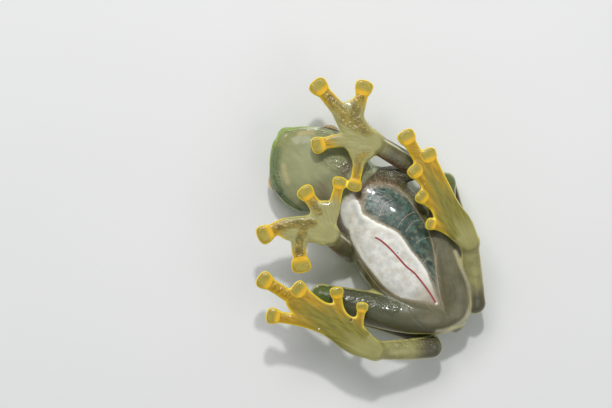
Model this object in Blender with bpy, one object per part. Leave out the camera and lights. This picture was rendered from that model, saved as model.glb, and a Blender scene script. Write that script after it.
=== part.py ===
"""A glass frog, life size, lying on its back with its belly up and its limbs folded.

The plan view, X to the right and Y up, is the frog's underside. Its snout points up and to the left,
so the two limbs on the upper right are its left ones. The palms, the soles and the discs of the
fingers and toes lie at one level, as if pressed on a pane, and the back rests on the ground.
"""
import math

import bmesh
import bpy
from mathutils import Matrix, Vector

MM = 0.001

# All sizes below are in millimetres.
GAP = 0.3
PANE = 7.6
GROUND_SPAN = 80.0
GROUND_DEPTH = 10.0

# The midline of the belly starts here and runs to the snout, which is 23.3 mm away.
MIDLINE_START = Vector((6.7, -8.5, 0.0))
MIDLINE_ANGLE = math.radians(132.5)

# Trunk: distance along the midline, offset to the frog's left, level, half width, half depth.
TRUNK = (
    (-3.2, 0.0, 3.5, 0.7, 0.9),
    (-2.3, 0.0, 3.5, 1.75, 1.9),
    (0.0, 0.2, 3.5, 2.5, 2.6),
    (1.5, 0.3, 3.5, 3.0, 3.0),
    (3.5, 0.4, 3.5, 3.75, 3.5),
    (5.5, 0.6, 3.45, 4.35, 3.8),
    (7.0, 0.9, 3.45, 4.6, 3.85),
    (8.7, 1.35, 3.4, 4.55, 3.8),
    (10.5, 1.8, 3.3, 4.3, 3.4),
    (12.4, 1.75, 3.3, 3.75, 2.85),
    (14.0, 1.35, 3.5, 3.35, 2.4),
)
TRUNK_SQUARENESS = 2.3
TRUNK_ROUNDING = 0.5

# Head: distance ahead of its middle, offset to the frog's left, level, half width, half depth.
HEAD_MIDDLE = 18.4
HEAD = (
    (-4.1, 1.4, 3.5, 3.4, 2.3),
    (-3.2, 0.95, 3.5, 4.0, 2.35),
    (-2.0, 0.5, 3.5, 4.5, 2.35),
    (-0.6, 0.25, 3.5, 4.72, 2.3),
    (0.8, 0.12, 3.52, 4.55, 2.2),
    (2.0, 0.0, 3.6, 4.05, 2.0),
    (3.0, 0.0, 3.7, 3.25, 1.75),
    (3.8, 0.0, 3.8, 2.4, 1.45),
    (4.4, 0.0, 3.85, 1.5, 1.1),
)
HEAD_SQUARENESS = 2.4
HEAD_ROLL = math.radians(5.0)
SNOUT_ROUNDING = 0.5

# The lips and the mouth run round the head at their levels, a little past the last section.
MOUTH_LEVEL = 4.75
MOUTH_GROOVE = 0.13
LIP_LEVEL = 4.4
LIP_ROUNDING = 0.3
LIP_INSET = 0.18
MOUTH_CORNER = -0.6
MOUTH_FRONT_REACH = 0.3
MOUTH_FRONT_WIDTH = 0.55

# Eyes and nostrils: distances ahead of the head's middle and from the midline, and levels.
EYE = Vector((1.35, 3.2, 2.25))
EYE_RADIUS = 1.5
LID_THICKNESS = 0.35
LID_OPENING_RADIUS = 2.0
LID_OPENING_SHIFT = 0.85
GAZE = Vector((0.5, 0.8, 0.1))

NOSTRIL_KNOB = Vector((4.05, 0.85, 3.2))
NOSTRIL_KNOB_RADIUS = 0.5
NOSTRIL_PIT = Vector((4.35, 0.935, 2.85))
NOSTRIL_PIT_RADIUS = 0.17

# Limb segments: share of the length, half width, half depth.
UPPER_ARM = ((0.0, 1.0, 1.0), (0.5, 0.95, 0.95), (1.0, 0.8, 0.8))
FOREARM = ((0.0, 0.78, 0.75), (0.35, 0.98, 0.85), (0.75, 0.85, 0.7), (1.0, 0.72, 0.55))
THIGH = ((0.0, 1.6, 1.5), (0.3, 1.8, 1.6), (0.6, 1.7, 1.55), (0.85, 1.35, 1.3), (1.0, 1.15, 1.15))
SHANK = ((0.0, 0.95, 0.9), (0.2, 1.2, 1.1), (0.45, 1.25, 1.15), (0.8, 0.95, 0.9), (1.0, 0.85, 0.8))
TARSUS = ((0.0, 1.15, 0.95), (0.5, 1.05, 0.85), (1.0, 0.88, 0.6))

# Digits: share of the length up to the neck, half width as a share of the disc's, half depth.
DIGIT_SHAPE = ((0.0, 0.86, 0.45), (0.5, 0.76, 0.4), (1.0, 0.68, 0.36))
DIGIT_ROUNDING = 0.3

# Discs, in shares of their half width: how far back the neck ends, two sections, and the round end.
DISC_NECK = 1.2
DISC_SHAPE = ((-0.35, 0.97), (0.3, 0.93))
DISC_ROUNDING = 0.62
DISC_DEPTH = 0.45

PALM_DEPTH = 0.55
PALM_START_ROUNDING = 0.4
PALM_END_ROUNDING = 0.7
WEB_THICKNESS = 0.55

# Pose: the joints of each limb. A pad is a path with its half widths. A digit is a path from the
# palm or sole to the middle of its disc, with the half width of the disc, thumb side first.
# A web spans digits: how far it reaches along each one, and where its edge dips between them.
POSE = {
    "left": {
        "upper_arm": ((0.3, 4.3, 3.6), (2.7, 4.6, 4.0), (5.1, 4.95, 4.6)),
        "forearm": ((5.2, 5.0, 4.7), (2.9, 6.3, 5.7), (0.3, 7.8, 6.75)),
        "palm": (
            (((0.2, 7.8), (-1.0, 8.1), (-1.65, 9.2), (-2.2, 10.3)), (0.9, 1.5, 1.4, 1.35)),
            (((-0.9, 8.0), (-0.95, 7.1), (-1.15, 6.2)), (1.3, 1.2, 0.65)),
        ),
        "fingers": (
            (((-1.2, 7.2), (-1.25, 5.5), (-1.65, 3.5)), 0.74),
            (((-1.7, 7.9), (-3.4, 7.95), (-5.25, 7.5)), 0.86),
            (((-2.2, 9.7), (-3.6, 11.5), (-5.2, 13.35)), 0.97),
            (((-1.7, 10.0), (-1.2, 11.5), (-0.7, 13.25)), 0.92),
        ),
        "finger_webs": (
            ((0, 1), (0.2, 0.35), ((-2.1, 6.9),)),
            ((2, 3), (0.55, 0.8), ((-3.1, 11.6),)),
        ),
        "thigh": (
            (8.6, -9.3, 4.5), (8.4, -6.8, 4.9), (7.5, -2.6, 4.6), (7.3, 0.8, 4.5), (7.6, 3.6, 4.3),
        ),
        "shank": ((7.9, 3.9, 2.0), (8.5, 1.2, 1.5), (9.8, -4.2, 1.5), (10.75, -8.5, 2.0)),
        "tarsus": ((10.7, -8.5, 3.9), (10.3, -5.3, 5.3), (10.0, -2.5, 6.8)),
        "sole": (
            (((9.8, -2.0), (9.0, -0.9), (7.6, 1.0)), (0.95, 1.45, 1.35)),
        ),
        "toes": (
            (((9.3, -1.6), (7.7, -1.0), (6.0, -0.42)), 0.6),
            (((9.3, -1.6), (7.2, 0.6), (5.12, 2.3)), 0.7),
            (((9.3, -1.6), (6.9, 1.9), (4.45, 4.88)), 0.8),
            (((9.3, -1.6), (6.3, 3.6), (3.6, 8.3)), 0.9),
            (((9.5, -1.6), (7.6, 2.7), (5.8, 6.5)), 0.84),
        ),
        "toe_webs": (
            (
                (0, 1, 2, 3, 4),
                (0.75, 0.82, 0.87, 0.74, 0.87),
                ((6.4, 0.1), (5.1, 2.95), (4.45, 5.8), (4.8, 6.95)),
            ),
        ),
    },
    "right": {
        "upper_arm": ((-2.6, -0.4, 3.0), (-2.7, -2.1, 2.4), (-1.9, -3.65, 2.2)),
        "forearm": ((-1.7, -3.6, 2.2), (-2.8, -2.65, 4.3), (-4.0, -1.65, 6.6)),
        "palm": (
            (((-4.1, -1.5), (-5.3, -0.95), (-6.9, -0.85)), (0.85, 1.3, 1.2)),
            (((-5.1, -0.9), (-4.8, 0.0), (-4.5, 0.7)), (1.35, 1.3, 1.2)),
        ),
        "fingers": (
            (((-4.1, 0.2), (-3.55, 1.9), (-3.15, 3.7)), 0.74),
            (((-5.15, 0.2), (-5.5, 1.3), (-6.5, 2.7)), 0.86),
            (((-6.6, -0.5), (-8.65, -0.55), (-10.6, -1.42)), 0.97),
            (((-7.0, -1.2), (-7.22, -2.7), (-7.0, -4.48)), 0.99),
        ),
        "finger_webs": (
            ((0, 1), (0.35, 0.3), ((-4.6, 1.2),)),
            ((2, 3), (0.78, 0.35), ((-8.75, -1.9),)),
        ),
        "thigh": (
            (6.9, -10.0, 4.5), (4.2, -9.8, 4.9), (0.4, -9.1, 4.6), (-2.9, -8.2, 4.5), (-4.9, -7.7, 4.3),
        ),
        "shank": ((-4.9, -8.0, 2.0), (-2.5, -8.9, 1.5), (2.6, -10.9, 1.5), (6.3, -12.6, 2.0)),
        "tarsus": ((6.3, -13.0, 3.9), (3.6, -13.15, 5.3), (0.5, -13.1, 6.8)),
        "sole": (
            (((0.3, -13.1), (-1.4, -12.1), (-3.5, -10.7)), (0.9, 1.5, 1.35)),
        ),
        "toes": (
            (((-0.5, -12.6), (-1.2, -11.0), (-0.87, -8.75)), 0.6),
            (((-0.6, -12.5), (-2.8, -10.1), (-3.42, -7.28)), 0.7),
            (((-0.6, -12.5), (-3.9, -9.7), (-7.2, -6.95)), 0.86),
            (((-0.6, -12.6), (-5.8, -9.2), (-10.65, -6.07)), 0.9),
            (((-0.8, -12.8), (-5.3, -10.6), (-9.8, -9.62)), 0.82),
        ),
        "toe_webs": (
            (
                (0, 1, 2, 3, 4),
                (0.75, 0.8, 0.92, 0.74, 0.74),
                ((-2.1, -9.6), (-4.8, -8.2), (-8.1, -6.95), (-8.5, -8.45)),
            ),
        ),
    },
}

# How finely the forms are divided.
RING = {"trunk": 24, "head": 24, "limb": 14, "digit": 8}
STEPS_PER_SPAN = {"trunk": 2, "head": 2, "limb": 2, "digit": 1}
CAP_STEPS = 3
PATH_STEPS = 4
WEB_STEPS = 3
LIP_STEPS = 2
LIP_BEVEL = 1
BALL_SEGMENTS = 16
KNOB_SEGMENTS = 12
PIT_SEGMENTS = 8
WELD_DISTANCE = 0.001
SHARP_ANGLE = math.radians(45.0)

COLOURS = {
    "torso": (0.62, 0.66, 0.60, 0.32),
    "head": (0.47, 0.52, 0.34, 0.35),
    "eye": (0.72, 0.58, 0.22, 0.12),
    "arm": (0.42, 0.38, 0.20, 0.35),
    "leg": (0.40, 0.37, 0.24, 0.35),
    "hand": (0.62, 0.50, 0.12, 0.30),
    "foot": (0.58, 0.50, 0.14, 0.30),
}


def clear_scene():
    for obj in list(bpy.data.objects):
        bpy.data.objects.remove(obj, do_unlink=True)


def make_collection(name):
    collection = bpy.data.collections.new(name)
    bpy.context.scene.collection.children.link(collection)
    return collection


def make_material(name, colour):
    red, green, blue, roughness = colour
    material = bpy.data.materials.new(name)
    material.use_nodes = True
    shader = material.node_tree.nodes["Principled BSDF"]
    shader.inputs["Base Color"].default_value = (red, green, blue, 1.0)
    shader.inputs["Roughness"].default_value = roughness
    shader.inputs["Metallic"].default_value = 0.0
    material.diffuse_color = (red, green, blue, 1.0)
    return material


def midline_point(ahead, side, level):
    """A point at a distance along the midline and an offset to the frog's left."""
    forward = Vector((math.cos(MIDLINE_ANGLE), math.sin(MIDLINE_ANGLE), 0.0))
    left = Vector((forward.y, -forward.x, 0.0))
    return MIDLINE_START + forward * ahead + left * side + Vector((0.0, 0.0, level))


def blend(before, start, end, after, share):
    """Catmull-Rom value between start and end."""
    square = share * share
    cube = square * share
    return 0.5 * (
        start * 2.0
        + (end - before) * share
        + (before * 2.0 - start * 5.0 + end * 4.0 - after) * square
        + (start * 3.0 - before - end * 3.0 + after) * cube
    )


def smooth_row(values, steps):
    """Values along a smooth curve through the given ones."""
    last = len(values) - 1
    row = []
    for index in range(last):
        before = values[max(index - 1, 0)]
        after = values[min(index + 2, last)]
        for step in range(steps):
            row.append(blend(before, values[index], values[index + 1], after, step / steps))
    row.append(values[last])
    return row


def along(path, share):
    """The point at a share of the length of a polyline."""
    lengths = [(b - a).length for a, b in zip(path, path[1:])]
    target = share * sum(lengths)
    for start, end, length in zip(path, path[1:], lengths):
        if target <= length:
            return start.lerp(end, target / length)
        target -= length
    return path[-1].copy()


def section(centre, side, up, half_width, half_depth, count, squareness):
    """Points of a rounded section about a centre."""
    points = []
    for index in range(count):
        angle = 2.0 * math.pi * index / count
        across = math.copysign(abs(math.cos(angle)) ** (2.0 / squareness), math.cos(angle))
        above = math.copysign(abs(math.sin(angle)) ** (2.0 / squareness), math.sin(angle))
        points.append(centre + side * (half_width * across) + up * (half_depth * above))
    return points


def section_frame(centres, index):
    """The direction, the sideways and the upward axis of a path at one of its points."""
    before = centres[max(index - 1, 0)]
    after = centres[min(index + 1, len(centres) - 1)]
    ahead = (after - before).normalized()
    side = ahead.cross(Vector((0.0, 0.0, 1.0))).normalized()
    return ahead, side, side.cross(ahead)


def loft(name, stations, kind, squareness=2.0, round_start=0.0, round_end=0.0, grow=0.0):
    """A closed solid through stations of centre, half width and half depth, with flat or round ends."""
    steps = STEPS_PER_SPAN[kind]
    centres = smooth_row([station[0] for station in stations], steps)
    widths = smooth_row([station[1] for station in stations], steps)
    depths = smooth_row([station[2] for station in stations], steps)
    rings = []
    for index, centre in enumerate(centres):
        rings.append((centre, *section_frame(centres, index), widths[index] + grow, depths[index] + grow))

    if round_end:
        rings += end_rings(rings[-1], round_end + grow)
    if round_start:
        rings = end_rings(rings[0], -round_start - grow)[::-1] + rings

    count = RING[kind]
    mesh_data = bmesh.new()
    loops = []
    for centre, _, side, up, width, depth in rings:
        points = section(centre, side, up, width, depth, count, squareness)
        loops.append([mesh_data.verts.new(point * MM) for point in points])
    for near, far in zip(loops, loops[1:]):
        for index in range(count):
            following = (index + 1) % count
            mesh_data.faces.new((near[index], near[following], far[following], far[index]))
    close_end(mesh_data, loops[0], rings[0], -(round_start + grow), bool(round_start))
    close_end(mesh_data, loops[-1], rings[-1], round_end + grow, bool(round_end))
    return finish_mesh(name, mesh_data)


def end_rings(ring, reach):
    """The shrinking rings of a round end."""
    centre, ahead, side, up, width, depth = ring
    rings = []
    for step in range(1, CAP_STEPS):
        angle = 0.5 * math.pi * step / CAP_STEPS
        shrink = math.cos(angle)
        moved = centre + ahead * (reach * math.sin(angle))
        rings.append((moved, ahead, side, up, width * shrink, depth * shrink))
    return rings


def close_end(mesh_data, ring_points, ring, reach, is_round):
    """Closes a loft with a pole on a round end, or with one face, moved by the reach, on a flat end."""
    centre, ahead = ring[:2]
    if is_round:
        last_ring_reach = math.sin(0.5 * math.pi * (CAP_STEPS - 1) / CAP_STEPS)
        pole = mesh_data.verts.new((centre + ahead * (reach * (1.0 - last_ring_reach))) * MM)
        for index, point in enumerate(ring_points):
            mesh_data.faces.new((point, ring_points[(index + 1) % len(ring_points)], pole))
        return
    face = mesh_data.faces.new(ring_points)
    if reach:
        moved = bmesh.ops.extrude_face_region(mesh_data, geom=[face])
        for item in moved["geom"]:
            if isinstance(item, bmesh.types.BMVert):
                item.co += ahead * reach * MM
        mesh_data.faces.remove(face)


def finish_mesh(name, mesh_data):
    bmesh.ops.recalc_face_normals(mesh_data, faces=mesh_data.faces)
    mesh = bpy.data.meshes.new(name)
    mesh_data.to_mesh(mesh)
    mesh_data.free()
    obj = bpy.data.objects.new(name, mesh)
    WORKSHOP.objects.link(obj)
    return obj


def ball(name, centre, radius, segments=BALL_SEGMENTS):
    mesh_data = bmesh.new()
    bmesh.ops.create_uvsphere(
        mesh_data,
        u_segments=segments,
        v_segments=segments * 2 // 3,
        radius=radius * MM,
        matrix=Matrix.Translation(centre * MM),
    )
    return finish_mesh(name, mesh_data)


def tube(name, points, radius):
    """A round rod along points, as a mesh."""
    curve = bpy.data.curves.new(name, "CURVE")
    curve.dimensions = "3D"
    curve.bevel_depth = radius * MM
    curve.bevel_resolution = LIP_BEVEL
    curve.use_fill_caps = True
    spline = curve.splines.new("POLY")
    spline.points.add(len(points) - 1)
    for spot, point in zip(spline.points, points):
        spot.co = (*(point * MM), 1.0)
    return mesh_from_curve(name, curve)


def plate(name, outline, level, thickness):
    """A flat plate with the given outline, centred on a level."""
    curve = bpy.data.curves.new(name, "CURVE")
    curve.dimensions = "2D"
    curve.fill_mode = "BOTH"
    curve.extrude = 0.5 * thickness * MM
    spline = curve.splines.new("POLY")
    spline.use_cyclic_u = True
    spline.points.add(len(outline) - 1)
    for spot, point in zip(spline.points, outline):
        spot.co = (point.x * MM, point.y * MM, 0.0, 1.0)
    obj = mesh_from_curve(name, curve)
    obj.data.transform(Matrix.Translation((0.0, 0.0, level * MM)))
    return obj


def mesh_from_curve(name, curve):
    guide = bpy.data.objects.new(name + "_guide", curve)
    WORKSHOP.objects.link(guide)
    bpy.context.view_layer.update()
    evaluated = guide.evaluated_get(bpy.context.evaluated_depsgraph_get())
    mesh = bpy.data.meshes.new_from_object(evaluated)
    mesh_data = bmesh.new()
    mesh_data.from_mesh(mesh)
    bmesh.ops.remove_doubles(mesh_data, verts=mesh_data.verts, dist=WELD_DISTANCE * MM)
    bpy.data.objects.remove(guide, do_unlink=True)
    bpy.data.meshes.remove(mesh)
    return finish_mesh(name, mesh_data)


def apply_modifiers(obj):
    bpy.context.view_layer.update()
    evaluated = obj.evaluated_get(bpy.context.evaluated_depsgraph_get())
    mesh = bpy.data.meshes.new_from_object(evaluated)
    old = obj.data
    obj.modifiers.clear()
    obj.data = mesh
    bpy.data.meshes.remove(old)


def join(obj, others, solver="EXACT"):
    """Fuses closed pieces into one body."""
    group = bpy.data.collections.new(obj.name + "_pieces")
    bpy.context.scene.collection.children.link(group)
    for other in others:
        group.objects.link(other)
    modifier = obj.modifiers.new("join", "BOOLEAN")
    modifier.operation = "UNION"
    modifier.operand_type = "COLLECTION"
    modifier.collection = group
    modifier.solver = solver
    apply_modifiers(obj)
    for other in others:
        bpy.data.objects.remove(other, do_unlink=True)
    bpy.data.collections.remove(group)
    return obj


def cut(obj, cutter, solver="EXACT"):
    """Removes a cutter's space from a piece, and the cutter."""
    modifier = obj.modifiers.new("cut", "BOOLEAN")
    modifier.operation = "DIFFERENCE"
    modifier.object = cutter
    modifier.solver = solver
    apply_modifiers(obj)
    bpy.data.objects.remove(cutter, do_unlink=True)
    return obj


def keep_largest_body(obj):
    """Leaves only the largest closed surface."""
    mesh_data = bmesh.new()
    mesh_data.from_mesh(obj.data)
    unseen = set(mesh_data.verts)
    bodies = []
    while unseen:
        seed = unseen.pop()
        body = {seed}
        front = [seed]
        while front:
            vertex = front.pop()
            for edge in vertex.link_edges:
                other = edge.other_vert(vertex)
                if other not in body:
                    body.add(other)
                    front.append(other)
        unseen -= body
        bodies.append(body)
    largest = max(bodies, key=len)
    bmesh.ops.delete(mesh_data, geom=[vertex for vertex in mesh_data.verts if vertex not in largest])
    bmesh.ops.recalc_face_normals(mesh_data, faces=mesh_data.faces)
    mesh_data.to_mesh(obj.data)
    mesh_data.free()


def trunk_solid(name, grow=0.0):
    stations = []
    for ahead, side, level, width, depth in TRUNK:
        stations.append((midline_point(ahead, side, level), width, depth))
    return loft(name, stations, "trunk", TRUNK_SQUARENESS, round_start=TRUNK_ROUNDING, grow=grow)


def limb_solid(name, path, shape, grow=0.0):
    """A limb segment with round ends."""
    fine = smooth_row([Vector(point) for point in path], PATH_STEPS)
    stations = [(along(fine, share), width, depth) for share, width, depth in shape]
    return loft(name, stations, "limb", round_start=shape[0][1], round_end=shape[-1][1], grow=grow)


def flat(point, level=0.0):
    return Vector((point[0], point[1], level))


def digit_solid(name, path, disc_half_width):
    """A finger or a toe along a path that ends in the middle of a rounded disc."""
    level = PANE - DISC_DEPTH
    fine = smooth_row([flat(point, level) for point in path], PATH_STEPS)
    length = sum((b - a).length for a, b in zip(fine, fine[1:]))
    neck = 1.0 - DISC_NECK * disc_half_width / length
    stations = []
    for share, width, depth in DIGIT_SHAPE:
        stations.append((along(fine, share * neck), width * disc_half_width, depth))
    heading = (fine[-1] - fine[-2]).normalized() * disc_half_width
    for ahead, width in DISC_SHAPE:
        stations.append((fine[-1] + heading * ahead, width * disc_half_width, DISC_DEPTH))
    round_end = DISC_ROUNDING * disc_half_width
    return loft(name, stations, "digit", round_start=DIGIT_ROUNDING, round_end=round_end)


def web_outline(digits, web):
    """The outline of the skin between digits, from their roots to the edge that dips between them."""
    members, reaches, dips = web
    edge = []
    for order, member in enumerate(members):
        path = smooth_row([flat(point) for point in digits[member][0]], PATH_STEPS)
        edge.append(along(path, reaches[order]))
        if order < len(dips):
            edge.append(flat(dips[order]))
    first, last = digits[members[0]][0], digits[members[-1]][0]
    outline = smooth_row(edge, WEB_STEPS)
    outline += [flat(last[1]).lerp(flat(last[0]), 0.5), flat(last[0]), flat(first[0])]
    return outline + [flat(first[1]).lerp(flat(first[0]), 0.5)]


def paw_solid(name, pads, digits, webs):
    """A hand or a foot: palm or sole, digits with discs, and webs."""
    level = PANE - PALM_DEPTH
    pieces = []
    for path, widths in pads:
        stations = [(flat(point, level), width, PALM_DEPTH) for point, width in zip(path, widths)]
        pad = loft(name, stations, "limb", round_start=PALM_START_ROUNDING, round_end=PALM_END_ROUNDING)
        pieces.append(pad)
    for path, half_width in digits:
        pieces.append(digit_solid(name + "_digit", path, half_width))
    for web in webs:
        pieces.append(plate(name + "_web", web_outline(digits, web), PANE - DISC_DEPTH, WEB_THICKNESS))
    return join(pieces[0], pieces[1:], "MANIFOLD")


def head_matrix():
    """From the head's own axes (ahead, left, up) to the plan, with the head rolled about its length."""
    forward = Vector((math.cos(MIDLINE_ANGLE), math.sin(MIDLINE_ANGLE), 0.0))
    left = Vector((forward.y, -forward.x, 0.0))
    up = Vector((0.0, 0.0, 1.0))
    middle = midline_point(HEAD_MIDDLE, 0.0, 0.0)
    turn = Matrix.Translation((0.0, 0.0, HEAD[0][2])) @ Matrix.Rotation(HEAD_ROLL, 4, "X")
    turn = turn @ Matrix.Translation((0.0, 0.0, -HEAD[0][2]))
    axes = Matrix((forward, left, up)).transposed().to_4x4()
    return Matrix.Translation(middle) @ axes @ turn


def head_outline(level, inset):
    """Points round the front of the head at a level, from one corner of the mouth to the other."""
    half = []
    for ahead, side, middle, width, depth in HEAD:
        if ahead >= MOUTH_CORNER:
            share = abs(level - middle) / depth
            reach = width * (1.0 - share**HEAD_SQUARENESS) ** (1.0 / HEAD_SQUARENESS) - inset
            half.append((ahead, side, reach))
    last_ahead, last_side, last_reach = half[-1]
    half.append((last_ahead + MOUTH_FRONT_REACH, last_side, last_reach * MOUTH_FRONT_WIDTH))
    left_side = [Vector((ahead, side + reach, level)) for ahead, side, reach in half]
    right_side = [Vector((ahead, side - reach, level)) for ahead, side, reach in reversed(half)]
    return smooth_row(left_side + right_side, LIP_STEPS)


def mirrored(point, mirror):
    """A point on the frog's left side (1) or on its right side (-1)."""
    return Vector((point.x, point.y * mirror, point.z))


def head_solid():
    """The head with its lips and mouth line, and with the lids, sockets and nostrils of both sides."""
    stations = [(Vector((ahead, side, level)), width, depth) for ahead, side, level, width, depth in HEAD]
    head = loft("head", stations, "head", HEAD_SQUARENESS, round_end=SNOUT_ROUNDING)
    pieces = [tube("lip", head_outline(LIP_LEVEL, LIP_INSET), LIP_ROUNDING)]
    for mirror in (1.0, -1.0):
        pieces.append(ball("lid", mirrored(EYE, mirror), EYE_RADIUS + GAP + LID_THICKNESS))
        pieces.append(ball("knob", mirrored(NOSTRIL_KNOB, mirror), NOSTRIL_KNOB_RADIUS, KNOB_SEGMENTS))
    join(head, pieces)
    for mirror in (1.0, -1.0):
        eye = mirrored(EYE, mirror)
        gaze = mirrored(GAZE, mirror).normalized()
        cut(head, ball("socket", eye, EYE_RADIUS + GAP))
        cut(head, ball("opening", eye + gaze * LID_OPENING_SHIFT, LID_OPENING_RADIUS))
        cut(head, ball("pit", mirrored(NOSTRIL_PIT, mirror), NOSTRIL_PIT_RADIUS, PIT_SEGMENTS))
    cut(head, tube("mouth", head_outline(MOUTH_LEVEL, 0.0), MOUTH_GROOVE), "MANIFOLD")
    head.data.transform(scaled(head_matrix()))
    return head


def scaled(matrix):
    """The same placement with its shift in metres."""
    result = matrix.copy()
    result.translation = matrix.translation * MM
    return result


def eye_solid(name, mirror):
    return ball(name, head_matrix() @ mirrored(EYE, mirror), EYE_RADIUS)


def ground_cutter():
    """A block that fills the space below the ground."""
    mesh_data = bmesh.new()
    size = Matrix.Diagonal((GROUND_SPAN * MM, GROUND_SPAN * MM, GROUND_DEPTH * MM, 1.0))
    place = Matrix.Translation((0.0, 0.0, -0.5 * GROUND_DEPTH * MM))
    bmesh.ops.create_cube(mesh_data, size=1.0, matrix=place @ size)
    return finish_mesh("ground", mesh_data)


def place_part(obj, colour):
    """Puts a finished piece among the frog's parts, in its own colour."""
    keep_largest_body(obj)
    WORKSHOP.objects.unlink(obj)
    FROG.objects.link(obj)
    obj.data.materials.clear()
    obj.data.materials.append(make_material(obj.name + "_skin", COLOURS[colour]))
    obj.data.shade_smooth()
    obj.data.set_sharp_from_angle(angle=SHARP_ANGLE)


def build_arm(side):
    pose = POSE[side]
    upper = limb_solid("upper_arm_" + side, pose["upper_arm"], UPPER_ARM)
    cut(upper, trunk_solid("trunk_space", GAP))
    fore = limb_solid("forearm_" + side, pose["forearm"], FOREARM)
    cut(fore, trunk_solid("trunk_space", GAP))
    cut(fore, limb_solid("upper_arm_space", pose["upper_arm"], UPPER_ARM, GAP))
    hand = paw_solid("hand_" + side, pose["palm"], pose["fingers"], pose["finger_webs"])
    cut(hand, limb_solid("forearm_space", pose["forearm"], FOREARM, GAP), "MANIFOLD")
    place_part(upper, "arm")
    place_part(fore, "arm")
    place_part(hand, "hand")


def build_leg(side):
    pose = POSE[side]
    thigh = limb_solid("thigh_" + side, pose["thigh"], THIGH)
    cut(thigh, trunk_solid("trunk_space", GAP), "MANIFOLD")
    shank = limb_solid("shank_" + side, pose["shank"], SHANK)
    cut(shank, limb_solid("thigh_space", pose["thigh"], THIGH, GAP))
    tarsus = limb_solid("tarsus_" + side, pose["tarsus"], TARSUS)
    cut(tarsus, limb_solid("shank_space", pose["shank"], SHANK, GAP))
    cut(tarsus, limb_solid("thigh_space", pose["thigh"], THIGH, GAP))
    foot = paw_solid("foot_" + side, pose["sole"], pose["toes"], pose["toe_webs"])
    cut(foot, limb_solid("tarsus_space", pose["tarsus"], TARSUS, GAP), "MANIFOLD")
    place_part(thigh, "leg")
    place_part(shank, "leg")
    place_part(tarsus, "leg")
    place_part(foot, "foot")


def main():
    torso = cut(trunk_solid("torso"), ground_cutter())
    place_part(torso, "torso")
    head = cut(head_solid(), ground_cutter())
    cut(head, trunk_solid("trunk_space", GAP))
    place_part(head, "head")
    for side, mirror in (("left", 1.0), ("right", -1.0)):
        place_part(eye_solid("eye_" + side, mirror), "eye")
        build_arm(side)
        build_leg(side)


clear_scene()
FROG = make_collection("glass_frog")
WORKSHOP = make_collection("workshop")
main()
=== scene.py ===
"""Dresses the solids of a glass frog with its wet, see-through skin and its eyes, on a pale stage."""
import math

import bmesh
import bpy
import numpy as np
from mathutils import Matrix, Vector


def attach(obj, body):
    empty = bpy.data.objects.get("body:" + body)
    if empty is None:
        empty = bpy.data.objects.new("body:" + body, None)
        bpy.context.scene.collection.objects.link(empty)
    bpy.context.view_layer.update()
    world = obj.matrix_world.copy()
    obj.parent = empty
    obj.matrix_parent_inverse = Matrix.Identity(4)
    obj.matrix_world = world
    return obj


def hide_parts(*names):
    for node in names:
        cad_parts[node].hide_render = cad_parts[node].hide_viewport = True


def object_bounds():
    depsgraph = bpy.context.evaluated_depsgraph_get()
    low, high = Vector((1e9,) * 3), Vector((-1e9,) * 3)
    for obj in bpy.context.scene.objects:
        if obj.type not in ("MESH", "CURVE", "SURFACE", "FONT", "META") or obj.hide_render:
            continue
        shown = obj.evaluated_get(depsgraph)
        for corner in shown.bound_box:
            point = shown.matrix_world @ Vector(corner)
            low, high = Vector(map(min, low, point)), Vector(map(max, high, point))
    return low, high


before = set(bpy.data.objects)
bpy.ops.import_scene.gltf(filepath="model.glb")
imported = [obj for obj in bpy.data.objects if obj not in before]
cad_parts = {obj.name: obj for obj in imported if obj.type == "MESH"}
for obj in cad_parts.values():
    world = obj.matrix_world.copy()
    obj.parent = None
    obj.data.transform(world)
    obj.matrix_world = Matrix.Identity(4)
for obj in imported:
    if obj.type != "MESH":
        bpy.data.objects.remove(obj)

bl_info = {
    "name": "Glass Frog",
    "version": (1, 0, 0),
    "blender": (4, 5, 0),
    "location": "3D View > Sidebar > Frog",
    "description": "Dresses the solids of a glass frog with its skin, eyes and stage",
    "category": "Object",
}

MM = 0.001
BODY = "root"
SIDES = {"left": 1.0, "right": -1.0}
CAD_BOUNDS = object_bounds()

# All sizes below are in millimetres, in the plan: X to the right, Y up, Z out of the belly.
PANE = 7.6
MIDLINE_START = np.array((6.7, -8.5, 0.0))
MIDLINE_ANGLE = math.radians(132.5)
FORWARD = np.array((math.cos(MIDLINE_ANGLE), math.sin(MIDLINE_ANGLE), 0.0))
LEFTWARD = np.array((FORWARD[1], -FORWARD[0], 0.0))
UPWARD = np.array((0.0, 0.0, 1.0))

# Trunk and head: distance ahead, offset to the frog's left, level, half width, half depth.
TRUNK = (
    (-3.2, 0.0, 3.5, 0.7, 0.9),
    (-2.3, 0.0, 3.5, 1.75, 1.9),
    (0.0, 0.2, 3.5, 2.5, 2.6),
    (1.5, 0.3, 3.5, 3.0, 3.0),
    (3.5, 0.4, 3.5, 3.75, 3.5),
    (5.5, 0.6, 3.45, 4.35, 3.8),
    (7.0, 0.9, 3.45, 4.6, 3.85),
    (8.7, 1.35, 3.4, 4.55, 3.8),
    (10.5, 1.8, 3.3, 4.3, 3.4),
    (12.4, 1.75, 3.3, 3.75, 2.85),
    (14.0, 1.35, 3.5, 3.35, 2.4),
)
TRUNK_SQUARENESS = 2.3
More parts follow.
